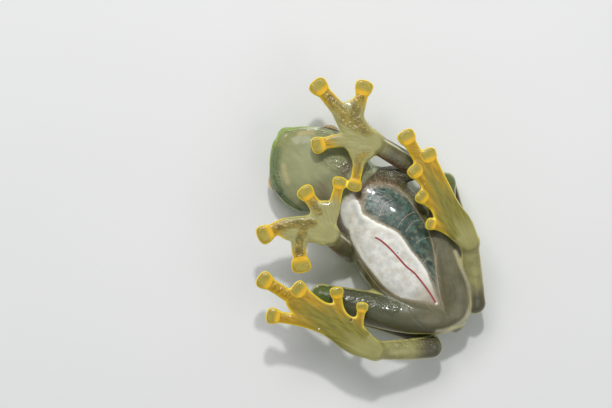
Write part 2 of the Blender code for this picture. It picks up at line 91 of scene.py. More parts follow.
# Where the pane flattens the belly; the throat's level follows below.
BELLY_LEVEL = 7.1
HEAD_MIDDLE = 18.4
HEAD = (
    (-4.1, 1.4, 3.5, 3.4, 2.3),
    (-3.2, 0.95, 3.5, 4.0, 2.35),
    (-2.0, 0.5, 3.5, 4.5, 2.35),
    (-0.6, 0.25, 3.5, 4.72, 2.3),
    (0.8, 0.12, 3.52, 4.55, 2.2),
    (2.0, 0.0, 3.6, 4.05, 2.0),
    (3.0, 0.0, 3.7, 3.25, 1.75),
    (3.8, 0.0, 3.8, 2.4, 1.45),
    (4.4, 0.0, 3.85, 1.5, 1.1),
)
HEAD_SQUARENESS = 2.4
HEAD_ROLL = math.radians(5.0)
HEAD_AXIS_LEVEL = 3.5
THROAT_LEVEL = 5.72

# Places on the head, in its own axes: ahead of its middle, to the left, level. A nostril is a
# knob and a pit. The bump of the snout lies in the plan.
EYE = np.array((1.35, 3.2, 2.25))
GAZE = np.array((0.55, 0.8, -0.15))
LID_THICKNESS = 0.36
SOCKET_GAP = 0.04
LID_OPENING_AHEAD = 0.85
LID_OPENING_RADIUS = 1.95
NOSTRIL = ((4.05, 0.85, 3.2), (4.4, 0.95, 2.88))
NOSTRIL_KNOB_RADIUS = 0.5
NOSTRIL_PIT_RADIUS = 0.15
MOUTH_CORNER_AHEAD = -2.0
MOUTH_FRONT_AHEAD = 4.85
LIP_LEVEL = 4.4
LIP_INSET = 0.2
MOUTH_LEVEL = 4.78
SNOUT_BUMP = (-8.55, 8.6, 3.7)
SNOUT_BUMP_RADIUS = 0.85

# The eyeballs: rings from front to back and corners on each, and how far the cornea reaches.
EYE_RINGS = 40
EYE_RING_CORNERS = 64
CORNEA_EDGE = math.radians(52.0)
CORNEA_TOP_EDGE = math.radians(18.0)

# The pupil, in degrees from the middle of the iris.
PUPIL_HALF_WIDTH = 17.0
PUPIL_HALF_HEIGHT = 9.0

# Limb segments: share of the length, half width, half depth.
UPPER_ARM = ((0.0, 1.0, 1.0), (0.5, 0.95, 0.95), (1.0, 0.8, 0.8))
FOREARM = ((0.0, 0.8, 0.75), (0.35, 1.0, 0.85), (0.75, 1.0, 0.7), (1.0, 0.95, 0.55))
THIGH = ((0.0, 1.6, 1.5), (0.3, 1.8, 1.6), (0.6, 1.7, 1.55), (0.85, 1.35, 1.3), (1.0, 1.15, 1.15))
SHANK = ((0.0, 0.95, 0.9), (0.2, 1.2, 1.1), (0.45, 1.25, 1.15), (0.8, 0.95, 0.9), (1.0, 0.9, 0.85))
TARSUS = ((0.0, 1.15, 0.95), (0.5, 1.05, 0.85), (1.0, 0.88, 0.6))
KNEE = ((0.0, 1.0, 1.0), (1.0, 0.9, 0.9))
HEEL = ((0.0, 0.85, 0.85), (1.0, 0.95, 0.85))

# The roll of the lip and the groove of the mouth, in the same terms.
LIP = ((0.0, 0.26, 0.26), (0.5, 0.3, 0.3), (1.0, 0.26, 0.26))
MOUTH = ((0.0, 0.1, 0.08), (1.0, 0.1, 0.08))
MOUTH_STEPS = 40

# Digits: share of the length, half width as a share of the disc's, half depth.
DIGIT = ((0.0, 0.86, 0.5), (0.5, 0.76, 0.47), (0.8, 0.7, 0.45), (1.0, 0.72, 0.44))

# Hands and feet lie along the pane.
PAD_LEVEL = PANE - 0.6
PAD_HALF_DEPTH = 0.66
DIGIT_LEVEL = PANE - 0.5
DISC_LIFT = 0.08
DISC_HALF_DEPTH = 0.52
DISC_LENGTH_SHARE = 0.84
WEB_LEVEL = PANE - 0.3
WEB_HALF_THICKNESS = 0.17

# The limbs' joints. A pad is a path with its half widths. A digit is a path to the middle of its
# disc, with the disc's half width. A web spans digits: reaches along them and dips between them.
# The streaks of a paw fan out from a point, in a direction in degrees.
POSE = {
    "left": {
        "upper_arm": ((0.3, 4.3, 3.6), (2.7, 4.6, 4.0), (5.1, 4.95, 4.6)),
        "forearm": ((5.2, 5.0, 4.7), (2.9, 6.3, 5.7), (0.3, 7.8, 6.75)),
        "pads": (
            (((0.2, 7.8), (-1.0, 8.1), (-1.65, 9.2), (-2.2, 10.3)), (0.9, 1.5, 1.4, 1.35)),
            (((-0.9, 8.0), (-0.95, 7.1), (-1.15, 6.2)), (1.3, 1.2, 0.65)),
        ),
        "fingers": (
            (((-1.2, 7.2), (-1.25, 5.5), (-1.65, 3.5)), 0.74),
            (((-1.7, 7.9), (-3.4, 7.95), (-5.25, 7.5)), 0.86),
            (((-2.2, 9.7), (-3.6, 11.5), (-5.2, 13.35)), 0.97),
            (((-1.7, 10.0), (-1.2, 11.5), (-0.7, 13.25)), 0.92),
        ),
        "finger_webs": (
            ((0, 1), (0.2, 0.35), ((-2.1, 6.9),)),
            ((2, 3), (0.55, 0.8), ((-3.1, 11.6),)),
        ),
        "hand_fan": ((1.6, 7.2), 160.0),
        "thigh": ((8.6, -9.3, 4.5), (8.4, -6.8, 4.9), (7.5, -2.6, 4.6), (7.3, 0.8, 4.5), (7.6, 3.6, 4.3)),
        "shank": ((7.9, 3.9, 2.0), (8.5, 1.2, 1.5), (9.8, -4.2, 1.5), (10.75, -8.5, 2.0)),
        "tarsus": ((10.7, -8.5, 3.9), (10.3, -5.3, 5.3), (10.0, -2.5, 6.8)),
        "sole": ((((9.8, -2.0), (9.0, -0.9), (7.6, 1.0)), (0.95, 1.45, 1.35)),),
        "toes": (
            (((9.3, -1.6), (7.7, -1.0), (6.0, -0.42)), 0.6),
            (((9.3, -1.6), (7.2, 0.6), (5.12, 2.3)), 0.7),
            (((9.3, -1.6), (6.9, 1.9), (4.45, 4.88)), 0.8),
            (((9.3, -1.6), (6.3, 3.6), (3.6, 8.3)), 0.9),
            (((9.5, -1.6), (7.6, 2.7), (5.8, 6.5)), 0.84),
        ),
        "toe_webs": (
            (
                (0, 1, 2, 3, 4),
                (0.75, 0.82, 0.87, 0.74, 0.87),
                ((6.4, 0.1), (5.1, 2.95), (4.45, 5.8), (4.8, 6.95)),
            ),
        ),
        "foot_fan": ((11.5, -5.5), 122.0),
    },
    "right": {
        "upper_arm": ((-2.6, -0.4, 3.0), (-2.7, -2.1, 2.4), (-1.9, -3.65, 2.2)),
        "forearm": ((-1.7, -3.6, 2.2), (-2.8, -2.65, 4.3), (-4.0, -1.65, 6.6)),
        "pads": (
            (((-4.1, -1.5), (-5.3, -0.95), (-6.9, -0.85)), (0.85, 1.3, 1.2)),
            (((-5.1, -0.9), (-4.8, 0.0), (-4.5, 0.7)), (1.35, 1.3, 1.2)),
        ),
        "fingers": (
            (((-4.1, 0.2), (-3.55, 1.9), (-3.15, 3.7)), 0.74),
            (((-5.15, 0.2), (-5.5, 1.3), (-6.5, 2.7)), 0.86),
            (((-6.6, -0.5), (-8.65, -0.55), (-10.6, -1.42)), 0.97),
            (((-7.0, -1.2), (-7.22, -2.7), (-7.0, -4.48)), 0.99),
        ),
        "finger_webs": (
            ((0, 1), (0.35, 0.3), ((-4.6, 1.2),)),
            ((2, 3), (0.78, 0.35), ((-8.75, -1.9),)),
        ),
        "hand_fan": ((-2.9, -2.4), 150.0),
        "thigh": (
            (6.9, -10.0, 4.5), (4.2, -9.8, 4.9), (0.4, -9.1, 4.6), (-2.9, -8.2, 4.5), (-4.9, -7.7, 4.3),
        ),
        "shank": ((-4.9, -8.0, 2.0), (-2.5, -8.9, 1.5), (2.6, -10.9, 1.5), (6.3, -12.6, 2.0)),
        "tarsus": ((6.3, -13.0, 3.9), (3.6, -13.15, 5.3), (0.5, -13.1, 6.8)),
        "sole": ((((0.3, -13.1), (-1.4, -12.1), (-3.5, -10.7)), (0.9, 1.5, 1.35)),),
        "toes": (
            (((-0.5, -12.6), (-1.2, -11.0), (-0.87, -8.75)), 0.6),
            (((-0.6, -12.5), (-2.8, -10.1), (-3.42, -7.28)), 0.7),
            (((-0.6, -12.5), (-3.9, -9.7), (-7.2, -6.95)), 0.86),
            (((-0.6, -12.6), (-5.8, -9.2), (-10.65, -6.07)), 0.9),
            (((-0.8, -12.8), (-5.3, -10.6), (-9.8, -9.62)), 0.82),
        ),
        "toe_webs": (
            (
                (0, 1, 2, 3, 4),
                (0.75, 0.8, 0.92, 0.74, 0.74),
                ((-2.1, -9.6), (-4.8, -8.2), (-8.1, -6.95), (-8.5, -8.45)),
            ),
        ),
        "foot_fan": ((3.6, -14.8), 140.0),
    },
}

# Organs that show through the belly, as outlines in the plan.
ORGAN_LOBE = (
    (-3.0, 0.6), (-3.05, 1.7), (-2.7, 2.4), (-2.0, 2.65), (-1.4, 2.1),
    (-1.0, 1.4), (-0.85, 0.4), (-1.2, -0.6), (-1.9, -1.1), (-2.6, -0.6),
)
ORGAN_SAC = (
    (-1.8, -0.2), (-1.1, 0.55), (-0.5, 0.4), (0.5, -0.2), (1.7, -0.75), (2.6, -1.2), (3.3, -2.0),
    (4.0, -3.05), (4.9, -4.1), (5.6, -5.15), (6.1, -6.4), (6.5, -7.6), (6.8, -8.4), (6.1, -8.3),
    (5.1, -8.15), (3.9, -8.0), (2.7, -7.65), (1.5, -6.8), (0.3, -5.4), (-0.7, -4.1), (-1.6, -2.65),
    (-2.1, -1.3),
)
GUT = (
    (-0.9, 0.8), (-0.8, 1.9), (-0.4, 3.0), (0.5, 3.55), (1.8, 3.55), (2.8, 3.15), (3.8, 2.2),
    (4.6, 1.05), (5.35, -0.2), (5.9, -1.6), (6.25, -3.0), (6.4, -4.5), (6.5, -6.0), (6.5, -6.9),
    (6.1, -6.1), (5.6, -5.0), (4.9, -4.0), (4.0, -2.9), (3.3, -1.85), (2.6, -1.05), (1.7, -0.6),
    (0.5, -0.05), (-0.5, 0.55),
)

# Lines drawn on the underside, in the plan. Each name is also that of the mark that tells how far
# away its lines are.
DRAWINGS = {
    "vein": (
        (
            (0.5, -1.78), (1.0, -2.05), (1.75, -2.7), (2.5, -3.48), (3.0, -4.05), (3.6, -4.7),
            (4.36, -5.32), (5.1, -6.2), (5.85, -7.2), (6.47, -8.18), (6.62, -8.38),
        ),
    ),
    "vessel": (
        ((1.0, 3.63), (0.25, 3.13), (-0.45, 2.4), (-0.9, 1.8)),
        ((2.1, 2.01), (1.5, 1.7), (1.15, 1.2), (0.9, 0.4)),
        ((4.9, 0.75), (4.3, 0.76), (3.6, 0.4), (3.0, -0.22), (2.65, -0.9)),
        ((5.5, 0.02), (4.6, -0.05), (4.0, -0.5), (3.5, -1.2)),
        ((5.97, -1.72), (5.3, -1.9), (4.86, -2.09), (4.48, -2.34)),
        ((6.35, -4.2), (5.73, -3.96), (5.23, -4.33)),
    ),
    "fold": (
        (
            (1.8, 3.6), (2.6, 3.3), (3.86, 2.1), (4.86, 0.6), (5.7, -0.75), (6.22, -2.3),
            (6.47, -3.7), (6.65, -5.45), (6.97, -7.44), (7.47, -9.2),
        ),
        ((6.9, -1.6), (6.7, -2.6), (6.6, -3.7), (6.65, -4.6)),
        ((4.0, -8.9), (4.1, -9.3), (4.4, -9.9), (5.35, -10.8), (6.1, -11.15), (6.7, -11.3)),
        ((-1.2, -4.0), (0.0, -5.8), (1.3, -7.2), (2.9, -8.2), (4.3, -8.8), (5.9, -9.2)),
    ),
    "organ_shade": (((-1.7, 1.3), (-1.3, 0.6), (-0.9, -0.2)),),
    "lip_band": (((-9.4, 7.0), (-9.7, 5.7), (-9.6, 4.2), (-9.0, 2.4), (-8.1, 1.3), (-6.9, 0.6)),),
    # Painted shade: a line along the lower lip, where the jaw turns away from the light.
    "lip_dark": (((-9.3, 2.6), (-8.5, 1.5), (-7.5, 0.8), (-6.1, 0.5)),),
    "cream": (
        ((-7.1, 8.75), (-6.6, 8.86), (-5.9, 8.84)),
        ((-8.8, 5.5), (-8.65, 4.8), (-8.35, 3.9)),
    ),
    # Painted shade: purple-brown lines on the throat.
    "dusk": (
        ((-2.3, 5.4), (-2.6, 4.6), (-2.7, 3.9)),
        ((-4.8, 3.2), (-4.6, 2.2), (-4.5, 1.5)),
    ),
    "snout": (((-9.76, 7.8), (-9.62, 8.3), (-9.03, 9.08), (-8.44, 9.38), (-7.85, 9.38)),),
    # Painted shade: a line on the chest below the left forearm.
    "blush": (((-0.3, 6.2), (1.0, 5.4), (2.2, 5.1)),),
    "chest_margin": (((-2.7, 2.9), (-2.2, 2.6), (-1.8, 2.3)),),
    # The rim of the hip: a pale line, partly a painted glow of light through the edge.
    "hip_rim": (
        (
            (8.6, -3.2), (9.1, -4.5), (9.6, -5.6), (10.0, -6.7), (10.2, -7.8), (10.15, -8.8),
            (9.83, -9.7), (9.2, -10.4), (8.5, -10.85), (7.5, -11.2), (6.8, -11.3),
        ),
    ),
}

# Dots on the underside: a point of the plan and a radius.
DOTS = {
    "white_dot": ((6.65, -8.42, 0.12), (-5.2, -10.9, 0.07), (-5.35, -6.75, 0.08)),
    "dark_dot": ((2.7, -3.3, 0.06), (-2.0, -10.0, 0.09)),
}

# Wet skin that the pane doesn't flatten: lines through it, and how far it reaches from them.
WET_ZONES = (
    (((-0.6, 5.6), (1.0, 5.3), (2.8, 4.4), (4.4, 3.2)), 1.4),
    (((-4.2, -7.25), (-2.6, -7.6), (0.0, -8.2), (2.2, -8.8)), 0.7),
    (((3.2, -12.4), (5.0, -12.5), (6.6, -12.6)), 0.6),
    (((-4.3, 6.2), (-2.8, 5.3)), 0.75),
    (((-4.2, 12.2), (-2.6, 10.3), (-0.4, 9.1)), 0.75),
    (((-1.0, 12.0), (-1.7, 10.4), (-0.7, 9.3)), 0.6),
    (((-9.3, -0.8), (-7.6, -0.4), (-5.8, -0.3)), 0.45),
    (((-7.2, -3.4), (-7.1, -2.0), (-6.7, -0.9)), 0.5),
    (((-5.8, 1.6), (-5.2, 0.8)), 0.4),
    (((-9.5, 4.6), (-9.2, 3.0)), 0.35),
    (((-9.4, -6.7), (-8.0, -7.6)), 0.35),
)

GROUPS = ("trunk", "head", "upper_arm", "forearm", "thigh", "shank", "tarsus", "hand", "foot")
GROUP_OF_JOINT = {"knee": "thigh", "heel": "tarsus"}

# Marks for the distance from a form go no further than this.
FAR_MARK = 3.0
CREASE_DEPTH = 0.03

# Lights that look at the middle of the frog, by place and size, and the camera's spot, in metres.
LIGHTS = {
    "key": ((-0.07, 0.16, 0.24), 0.12),
    "fill": ((0.18, -0.12, 0.25), 0.22),
    "glint": ((0.0, 0.13, 0.22), 0.014),
}
CAMERA_SPOT = (-0.0065, 0.0016)


def tone(red, green, blue):
    """A linear colour from display values of 0 to 255."""
    return tuple(((value / 255.0 + 0.055) / 1.055) ** 2.4 for value in (red, green, blue))


def shade(colour, factor):
    """A colour made darker or brighter."""
    return tuple(min(value * factor, 1.0) for value in colour)


def smooth_row(values, steps):
    """Rows along a smooth curve through the given rows."""
    values = np.asarray(values, float)
    padded = np.vstack((values[:1], values, values[-1:]))
    share = (np.arange(steps) / steps)[:, None]
    rows = []
    for before, start, end, after in zip(padded, padded[1:], padded[2:], padded[3:]):
        bend = (before * 2.0 - start * 5.0 + end * 4.0 - after) * share**2
        turn = (start * 3.0 - before - end * 3.0 + after) * share**3
        rows.append(0.5 * (start * 2.0 + (end - before) * share + bend + turn))
    return np.vstack(rows + [values[-1:]])


def spread(path, shares):
    """Points at shares of the length of a polyline."""
    path = np.asarray(path, float)
    steps = np.linalg.norm(np.diff(path, axis=0), axis=1)
    reached = np.concatenate(((0.0,), np.cumsum(steps))) / steps.sum()
    return np.stack([np.interp(shares, reached, path[:, axis]) for axis in range(path.shape[1])], 1)


def smooth_min(one, other, radius):
    """The lower of two distances, with a fillet of about the radius where they meet."""
    share = np.clip(0.5 + 0.5 * (other - one) / radius, 0.0, 1.0)
    return other + (one - other) * share - radius * share * (1.0 - share)


def smooth_max(one, other, radius):
    """The higher of two distances, with a fillet where they meet."""
    return -smooth_min(-one, -other, radius)


def ramp(value, low, high):
    """0 below low, 1 above high and a smooth step between them; low may be above high."""
    share = np.clip((value - low) / (high - low), 0.0, 1.0)
    return share * share * (3.0 - 2.0 * share)


def oval_distance(offsets, halves, power):
    """About how far offsets from a centre lie outside a rounded box with the given halves."""
    scaled = sum((np.abs(offset) / half) ** power for offset, half in zip(offsets, halves))
    scaled = np.maximum(scaled, 1e-6) ** (1.0 / power)
    length = np.sqrt(sum(offset**2 for offset in offsets))
    return length * (1.0 - 1.0 / scaled)


class Barrel:
    """The trunk or the head: oval sections along a straight line, in its own axes."""

    def __init__(self, stations, squareness, origin, roll=0.0, ends=0.6):
        self.table = smooth_row(stations, 8)
        self.squareness = squareness
        self.ends = ends
        self.origin = origin
        cos, sin = math.cos(roll), math.sin(roll)
        self.side = LEFTWARD * cos + UPWARD * sin
        self.up = UPWARD * cos - LEFTWARD * sin

    def local(self, x, y, z):
        """Distances ahead and to the left, and the level, for points of the plan."""
        dx, dy, dz = x - self.origin[0], y - self.origin[1], z - self.origin[2]
        parts = []
        for axis in (FORWARD, self.side, self.up):
            parts.append(dx * axis[0] + dy * axis[1] + dz * axis[2])
        return parts[0], parts[1], parts[2] + self.origin[2]

    def point(self, ahead, side, level):
        """The plan point for distances ahead and to the left and a level."""
        return self.origin + FORWARD * ahead + self.side * side + self.up * (level - self.origin[2])

    def distance(self, x, y, z):
        ahead, side, level = self.local(x, y, z)
        reached = self.table[:, 0]
        clamped = np.clip(ahead, reached[0], reached[-1])
        middle, centre, width, depth = (np.interp(clamped, reached, self.table[:, c]) for c in (1, 2, 3, 4))
        offsets = (side - middle, level - centre, ahead - clamped)
        return oval_distance(offsets, (width, depth, self.ends), self.squareness)

    def flat(self, x, y):
        """Distance outside the outline of the widest sections, in the plan."""
        return self.distance(x, y, self.table[0, 2])

    def reach(self):
        corners = []
        for ahead, side, level, width, depth in self.table:
            for across in (-width, width):
                for rise in (-depth, depth):
                    corners.append(self.point(ahead, side + across, level + rise))
        return np.min(corners, 0) - self.ends, np.max(corners, 0) + self.ends


class Limb:
    """A limb segment, digit, pad, lip or groove: oval sections along a smooth path, with round ends."""

    def __init__(self, path, shape, steps=12, squareness=2.0):
        shares = np.linspace(0.0, 1.0, steps + 1)
        self.points = spread(smooth_row(path, 6), shares)
        fine = smooth_row(shape, 6)
        self.widths = np.interp(shares, fine[:, 0], fine[:, 1])
        self.depths = np.interp(shares, fine[:, 0], fine[:, 2])
        self.squareness = squareness

    def measure(self, x, y, z):
        """Distance outside, share along the path and offset across it, for points of the plan."""
        best = share = across = None
        count = len(self.points) - 1
        for index in range(count):
            start, end = self.points[index], self.points[index + 1]
            run = end - start
            side = np.cross(run, UPWARD)
            side /= np.linalg.norm(side)
            up = np.cross(side, run) / np.linalg.norm(run)
            ahead = run / np.linalg.norm(run)
            dx, dy, dz = x - start[0], y - start[1], z - start[2]
            part = np.clip((dx * run[0] + dy * run[1] + dz * run[2]) / (run @ run), 0.0, 1.0)
            dx, dy, dz = dx - part * run[0], dy - part * run[1], dz - part * run[2]
            offsets = [dx * axis[0] + dy * axis[1] + dz * axis[2] for axis in (side, up, ahead)]
            width = self.widths[index] + (self.widths[index + 1] - self.widths[index]) * part
            depth = self.depths[index] + (self.depths[index + 1] - self.depths[index]) * part
            found = oval_distance(offsets, (width, depth, width), self.squareness)
            if best is None:
                best, share, across = found, (index + part) / count, offsets[0]
            else:
                nearer = found < best
                best = np.where(nearer, found, best)
                share = np.where(nearer, (index + part) / count, share)
                across = np.where(nearer, offsets[0], across)
        return best, share, across

    def distance(self, x, y, z):
        return self.measure(x, y, z)[0]

    def flat(self, x, y):
        """Distance outside the outline, in the plan."""
        best = np.full(x.shape, 1e6)
        rows = zip(self.points, self.points[1:], self.widths, self.widths[1:])
        for start, end, start_width, end_width in rows:
            run_x, run_y = end[0] - start[0], end[1] - start[1]
            dx, dy = x - start[0], y - start[1]
            part = np.clip((dx * run_x + dy * run_y) / (run_x**2 + run_y**2), 0.0, 1.0)
            away = np.hypot(dx - part * run_x, dy - part * run_y)
            best = np.minimum(best, away - start_width - (end_width - start_width) * part)
        return best

    def reach(self):
        margin = max(self.widths.max(), self.depths.max())
        return self.points.min(0) - margin, self.points.max(0) + margin


class Disc:
    """A flat pad at the end of a digit, wider and blunter at its far edge."""

    POWER = 2.6
    FLARE = 0.12

    def __init__(self, centre, heading, half_width):
        self.centre = np.asarray(centre, float)
        self.heading = heading / np.linalg.norm(heading)
        self.half_width = half_width
        self.halves = (DISC_LENGTH_SHARE * half_width, half_width, DISC_HALF_DEPTH)

    def offsets(self, x, y):
        """Distances ahead of the middle and across, the latter as if the disc had straight sides."""
        dx, dy = x - self.centre[0], y - self.centre[1]
        ahead = dx * self.heading[0] + dy * self.heading[1]
        across = dx * self.heading[1] - dy * self.heading[0]
        return ahead, across / (1.0 + self.FLARE * np.clip(ahead / self.halves[0], -1.0, 1.0))

    def distance(self, x, y, z):
        ahead, across = self.offsets(x, y)
        return oval_distance((ahead, across, z - self.centre[2]), self.halves, self.POWER)

    def flat(self, x, y):
        return oval_distance(self.offsets(x, y), self.halves[:2], self.POWER)

    def inner(self, x, y):
        """1 in the middle of the disc, 0 on its outline and less outside, in the plan."""
        ahead, across = self.offsets(x, y)
        radius = np.abs(ahead / self.halves[0]) ** self.POWER + np.abs(across / self.halves[1]) ** self.POWER
        return 1.0 - radius ** (1.0 / self.POWER)

    def reach(self):
        return self.centre - 1.2 * self.half_width, self.centre + 1.2 * self.half_width


class Ball:
    """A lid, a knob of the snout, or what is cut for a socket or a nostril."""

    def __init__(self, centre, radius):
        self.centre = np.asarray(centre, float)
        self.radius = radius

    def distance(self, x, y, z):
        dx, dy, dz = x - self.centre[0], y - self.centre[1], z - self.centre[2]
        return np.sqrt(dx * dx + dy * dy + dz * dz) - self.radius

    def flat(self, x, y):
        return np.hypot(x - self.centre[0], y - self.centre[1]) - self.radius

    def reach(self):
        return self.centre - self.radius, self.centre + self.radius


class Web:
    """A thin skin with an outline in the plan."""

    def __init__(self, outline, level, half_thickness):
        self.outline = np.asarray(outline, float)
        self.level = level
        self.half_thickness = half_thickness

    def distance(self, x, y, z):
        return smooth_max(self.flat(x, y), np.abs(z - self.level) - self.half_thickness, 0.12)

    def flat(self, x, y):
        return outline_distance(self.outline, x, y)

    def reach(self):
        low, high = self.outline.min(0), self.outline.max(0)
        rise = self.half_thickness
        return np.array((*low, self.level - rise)), np.array((*high, self.level + rise))


def outline_distance(outline, x, y):
    """Distance from a closed outline in the plan, negative inside."""
    inside = np.zeros(np.broadcast(x, y).shape, bool)
    nearest = np.full(inside.shape, 1e9)
    for (ax, ay), (bx, by) in zip(outline, np.roll(outline, -1, axis=0)):
        dx, dy, run_x, run_y = x - ax, y - ay, bx - ax, by - ay
        part = np.clip((dx * run_x + dy * run_y) / (run_x**2 + run_y**2 + 1e-12), 0.0, 1.0)
        nearest = np.minimum(nearest, (dx - part * run_x) ** 2 + (dy - part * run_y) ** 2)
        if ay != by:
            crosses = ((ay > y) != (by > y)) & (x < run_x * dy / run_y + ax)
            inside = inside ^ crosses
    return np.where(inside, -1.0, 1.0) * np.sqrt(nearest)


def line_distance(paths, x, y):
    """Distance in the plan from the nearest of some smooth lines."""
    nearest = np.full(x.shape, 1e6)
    for path in paths:
        fine = smooth_row(path, 4)
        for (ax, ay), (bx, by) in zip(fine, fine[1:]):
            dx, dy, run_x, run_y = x - ax, y - ay, bx - ax, by - ay
            part = np.clip((dx * run_x + dy * run_y) / (run_x**2 + run_y**2), 0.0, 1.0)
            nearest = np.minimum(nearest, (dx - part * run_x) ** 2 + (dy - part * run_y) ** 2)
    return np.sqrt(nearest)


def dot_distance(dots, x, y):
    """Distance outside the nearest of some dots."""
    return np.min([np.hypot(x - dot[0], y - dot[1]) - dot[2] for dot in dots], axis=0)


def web_outline(digits, web):
    """The outline of the skin between digits, from their roots to the edge that dips between them."""
    members, reaches, dips = web
    edge = []
    for order, member in enumerate(members):
        path = smooth_row(digits[member][0], 6)
        edge.append(spread(path, (reaches[order],))[0])
        if order < len(dips):
            edge.append(np.array(dips[order]))
    first, last = np.array(digits[members[0]][0]), np.array(digits[members[-1]][0])
    roots = [(last[1] + last[0]) / 2.0, last[0], first[0], (first[1] + first[0]) / 2.0]
    return np.vstack((smooth_row(edge, 4), roots))


def blend_corners(lattice, base, part):
    """Values between the corners of a lattice's cells; the lattice repeats past its ends."""
    total = np.zeros(len(base))
    for corner in range(8):
        shift = np.array((corner & 1, corner >> 1 & 1, corner >> 2 & 1))
        weight = np.prod(np.where(shift, part, 1.0 - part), axis=1)
        i, j, k = ((base + shift) % lattice.shape).T
        total += weight * lattice[i, j, k]
    return total


class Field:
    """Distances from a surface on a regular grid, negative inside."""

    FAR = 9.0

    def __init__(self, low, high, step):
        self.low = np.asarray(low, float) - 3.0 * step
        self.step = step
        counts = np.ceil((np.asarray(high) + 3.0 * step - self.low) / step).astype(int) + 1
        self.axes = [self.low[axis] + step * np.arange(counts[axis]) for axis in range(3)]
        self.values = np.full(counts, self.FAR, np.float32)

    def clear(self):
        self.values.fill(self.FAR)

    def window(self, reach, margin):
        """The part of the grid round a form, and its coordinates."""
        low, high = reach
        start = np.maximum(((low - margin - self.low) / self.step).astype(int), 0)
        stop = np.minimum(((high + margin - self.low) / self.step).astype(int) + 2, self.values.shape)
        place = tuple(slice(a, max(a, b)) for a, b in zip(start, stop))
        x, y, z = (axis[part].astype(np.float32) for axis, part in zip(self.axes, place))
        return place, (x[:, None, None], y[None, :, None], z[None, None, :])

    def add(self, form, fillet):
        place, spots = self.window(form.reach(), fillet + 2.0 * self.step)
        self.values[place] = smooth_min(self.values[place], form.distance(*spots), fillet)

    def cut(self, form, fillet):
        place, spots = self.window(form.reach(), fillet + 2.0 * self.step)
        self.values[place] = smooth_max(self.values[place], -form.distance(*spots), fillet)

    def keep_under(self, level, fillet):
        self.values = smooth_max(self.values, self.axes[2].astype(np.float32) - level, fillet)

    def keep_over(self, level, fillet):
        self.values = smooth_max(self.values, level - self.axes[2].astype(np.float32), fillet)

    def sample(self, points):
        """Values between the grid's points."""
        spots = (points - self.low) / self.step
        base = np.clip(spots.astype(int), 0, np.array(self.values.shape) - 2)
        part = spots - base
        return blend_corners(self.values, base, part)

    def slope(self, points):
        """The direction in which the distance grows fastest."""
        steps = np.eye(3) * self.step * 0.6
        found = np.stack([self.sample(points + s) - self.sample(points - s) for s in steps], 1)
        return found / np.maximum(np.linalg.norm(found, axis=1, keepdims=True), 1e-9)

    def surface(self):
        """Corners and four-sided faces of the surface, one corner in each cell that it crosses."""
        inside = self.values < 0.0
        shape = self.values.shape
        cells, spots = [], []
        for axis in range(3):
            lower = [slice(None)] * 3
            upper = [slice(None)] * 3
            lower[axis], upper[axis] = slice(None, -1), slice(1, None)
            here = np.argwhere(inside[tuple(lower)] != inside[tuple(upper)])
            there = here.copy()
            there[:, axis] += 1
            near, far = self.values[tuple(here.T)], self.values[tuple(there.T)]
            spot = here.astype(float)
            spot[:, axis] += near / (near - far)
            one, other = (axis + 1) % 3, (axis + 2) % 3
            ring = []
            for shift_one, shift_other in ((1, 1), (0, 1), (0, 0), (1, 0)):
                cell = here.copy()
                cell[:, one] -= shift_one
                cell[:, other] -= shift_other
                ring.append(np.ravel_multi_index(tuple(cell.T), shape))
            ring = np.stack(ring, 1)
            facing = inside[tuple(here.T)]
            cells.append(np.where(facing[:, None], ring, ring[:, ::-1]).ravel())
            spots.append(np.repeat(spot, 4, axis=0))
        cells = np.concatenate(cells)
        spots = np.concatenate(spots)
        _, index = np.unique(cells, return_inverse=True)
        count = np.bincount(index)
        corners = np.stack([np.bincount(index, spots[:, axis]) / count for axis in range(3)], 1)
        return corners * self.step + self.low, index.reshape(-1, 4)


def settle(field, corners, quads, rounds=3):
    """Evens the corners out and puts them back on the surface."""
    edges = np.vstack((quads[:, [0, 1]], quads[:, [1, 2]], quads[:, [2, 3]], quads[:, [3, 0]]))
    ends = np.concatenate((edges[:, 0], edges[:, 1]))
    others = np.concatenate((edges[:, 1], edges[:, 0]))
    count = np.maximum(np.bincount(ends, minlength=len(corners)), 1)
    for _ in range(rounds):
        sums = [np.bincount(ends, corners[others, axis], len(corners)) for axis in range(3)]
        corners = corners + 0.5 * (np.stack(sums, 1) / count[:, None] - corners)
        corners = corners - field.slope(corners) * field.sample(corners)[:, None]
    return corners


def head_form():
    origin = MIDLINE_START + FORWARD * HEAD_MIDDLE + UPWARD * HEAD_AXIS_LEVEL
    return Barrel(HEAD, HEAD_SQUARENESS, origin, HEAD_ROLL)


def eye_place(head, mirror):
    """The middle of an eye and the direction in which it looks."""
    side = np.array((1.0, mirror, 1.0))
    centre = head.point(*(EYE * side))
    gaze = head.point(*(EYE * side + GAZE * side)) - centre
    return centre, gaze / np.linalg.norm(gaze)


def lip_path(head, level, inset):
    """Points round the front of the head, from one corner of the mouth to the other."""
    left, right = [], []
    for ahead, side, middle, width, depth in HEAD:
        if ahead >= MOUTH_CORNER_AHEAD:
            share = abs(level - middle) / depth
            reach = width * (1.0 - share**HEAD_SQUARENESS) ** (1.0 / HEAD_SQUARENESS) - inset
            left.append(head.point(ahead, side + reach, level))
            right.append(head.point(ahead, side - reach, level))
    return left + [head.point(MOUTH_FRONT_AHEAD - inset, 0.0, level)] + right[::-1]


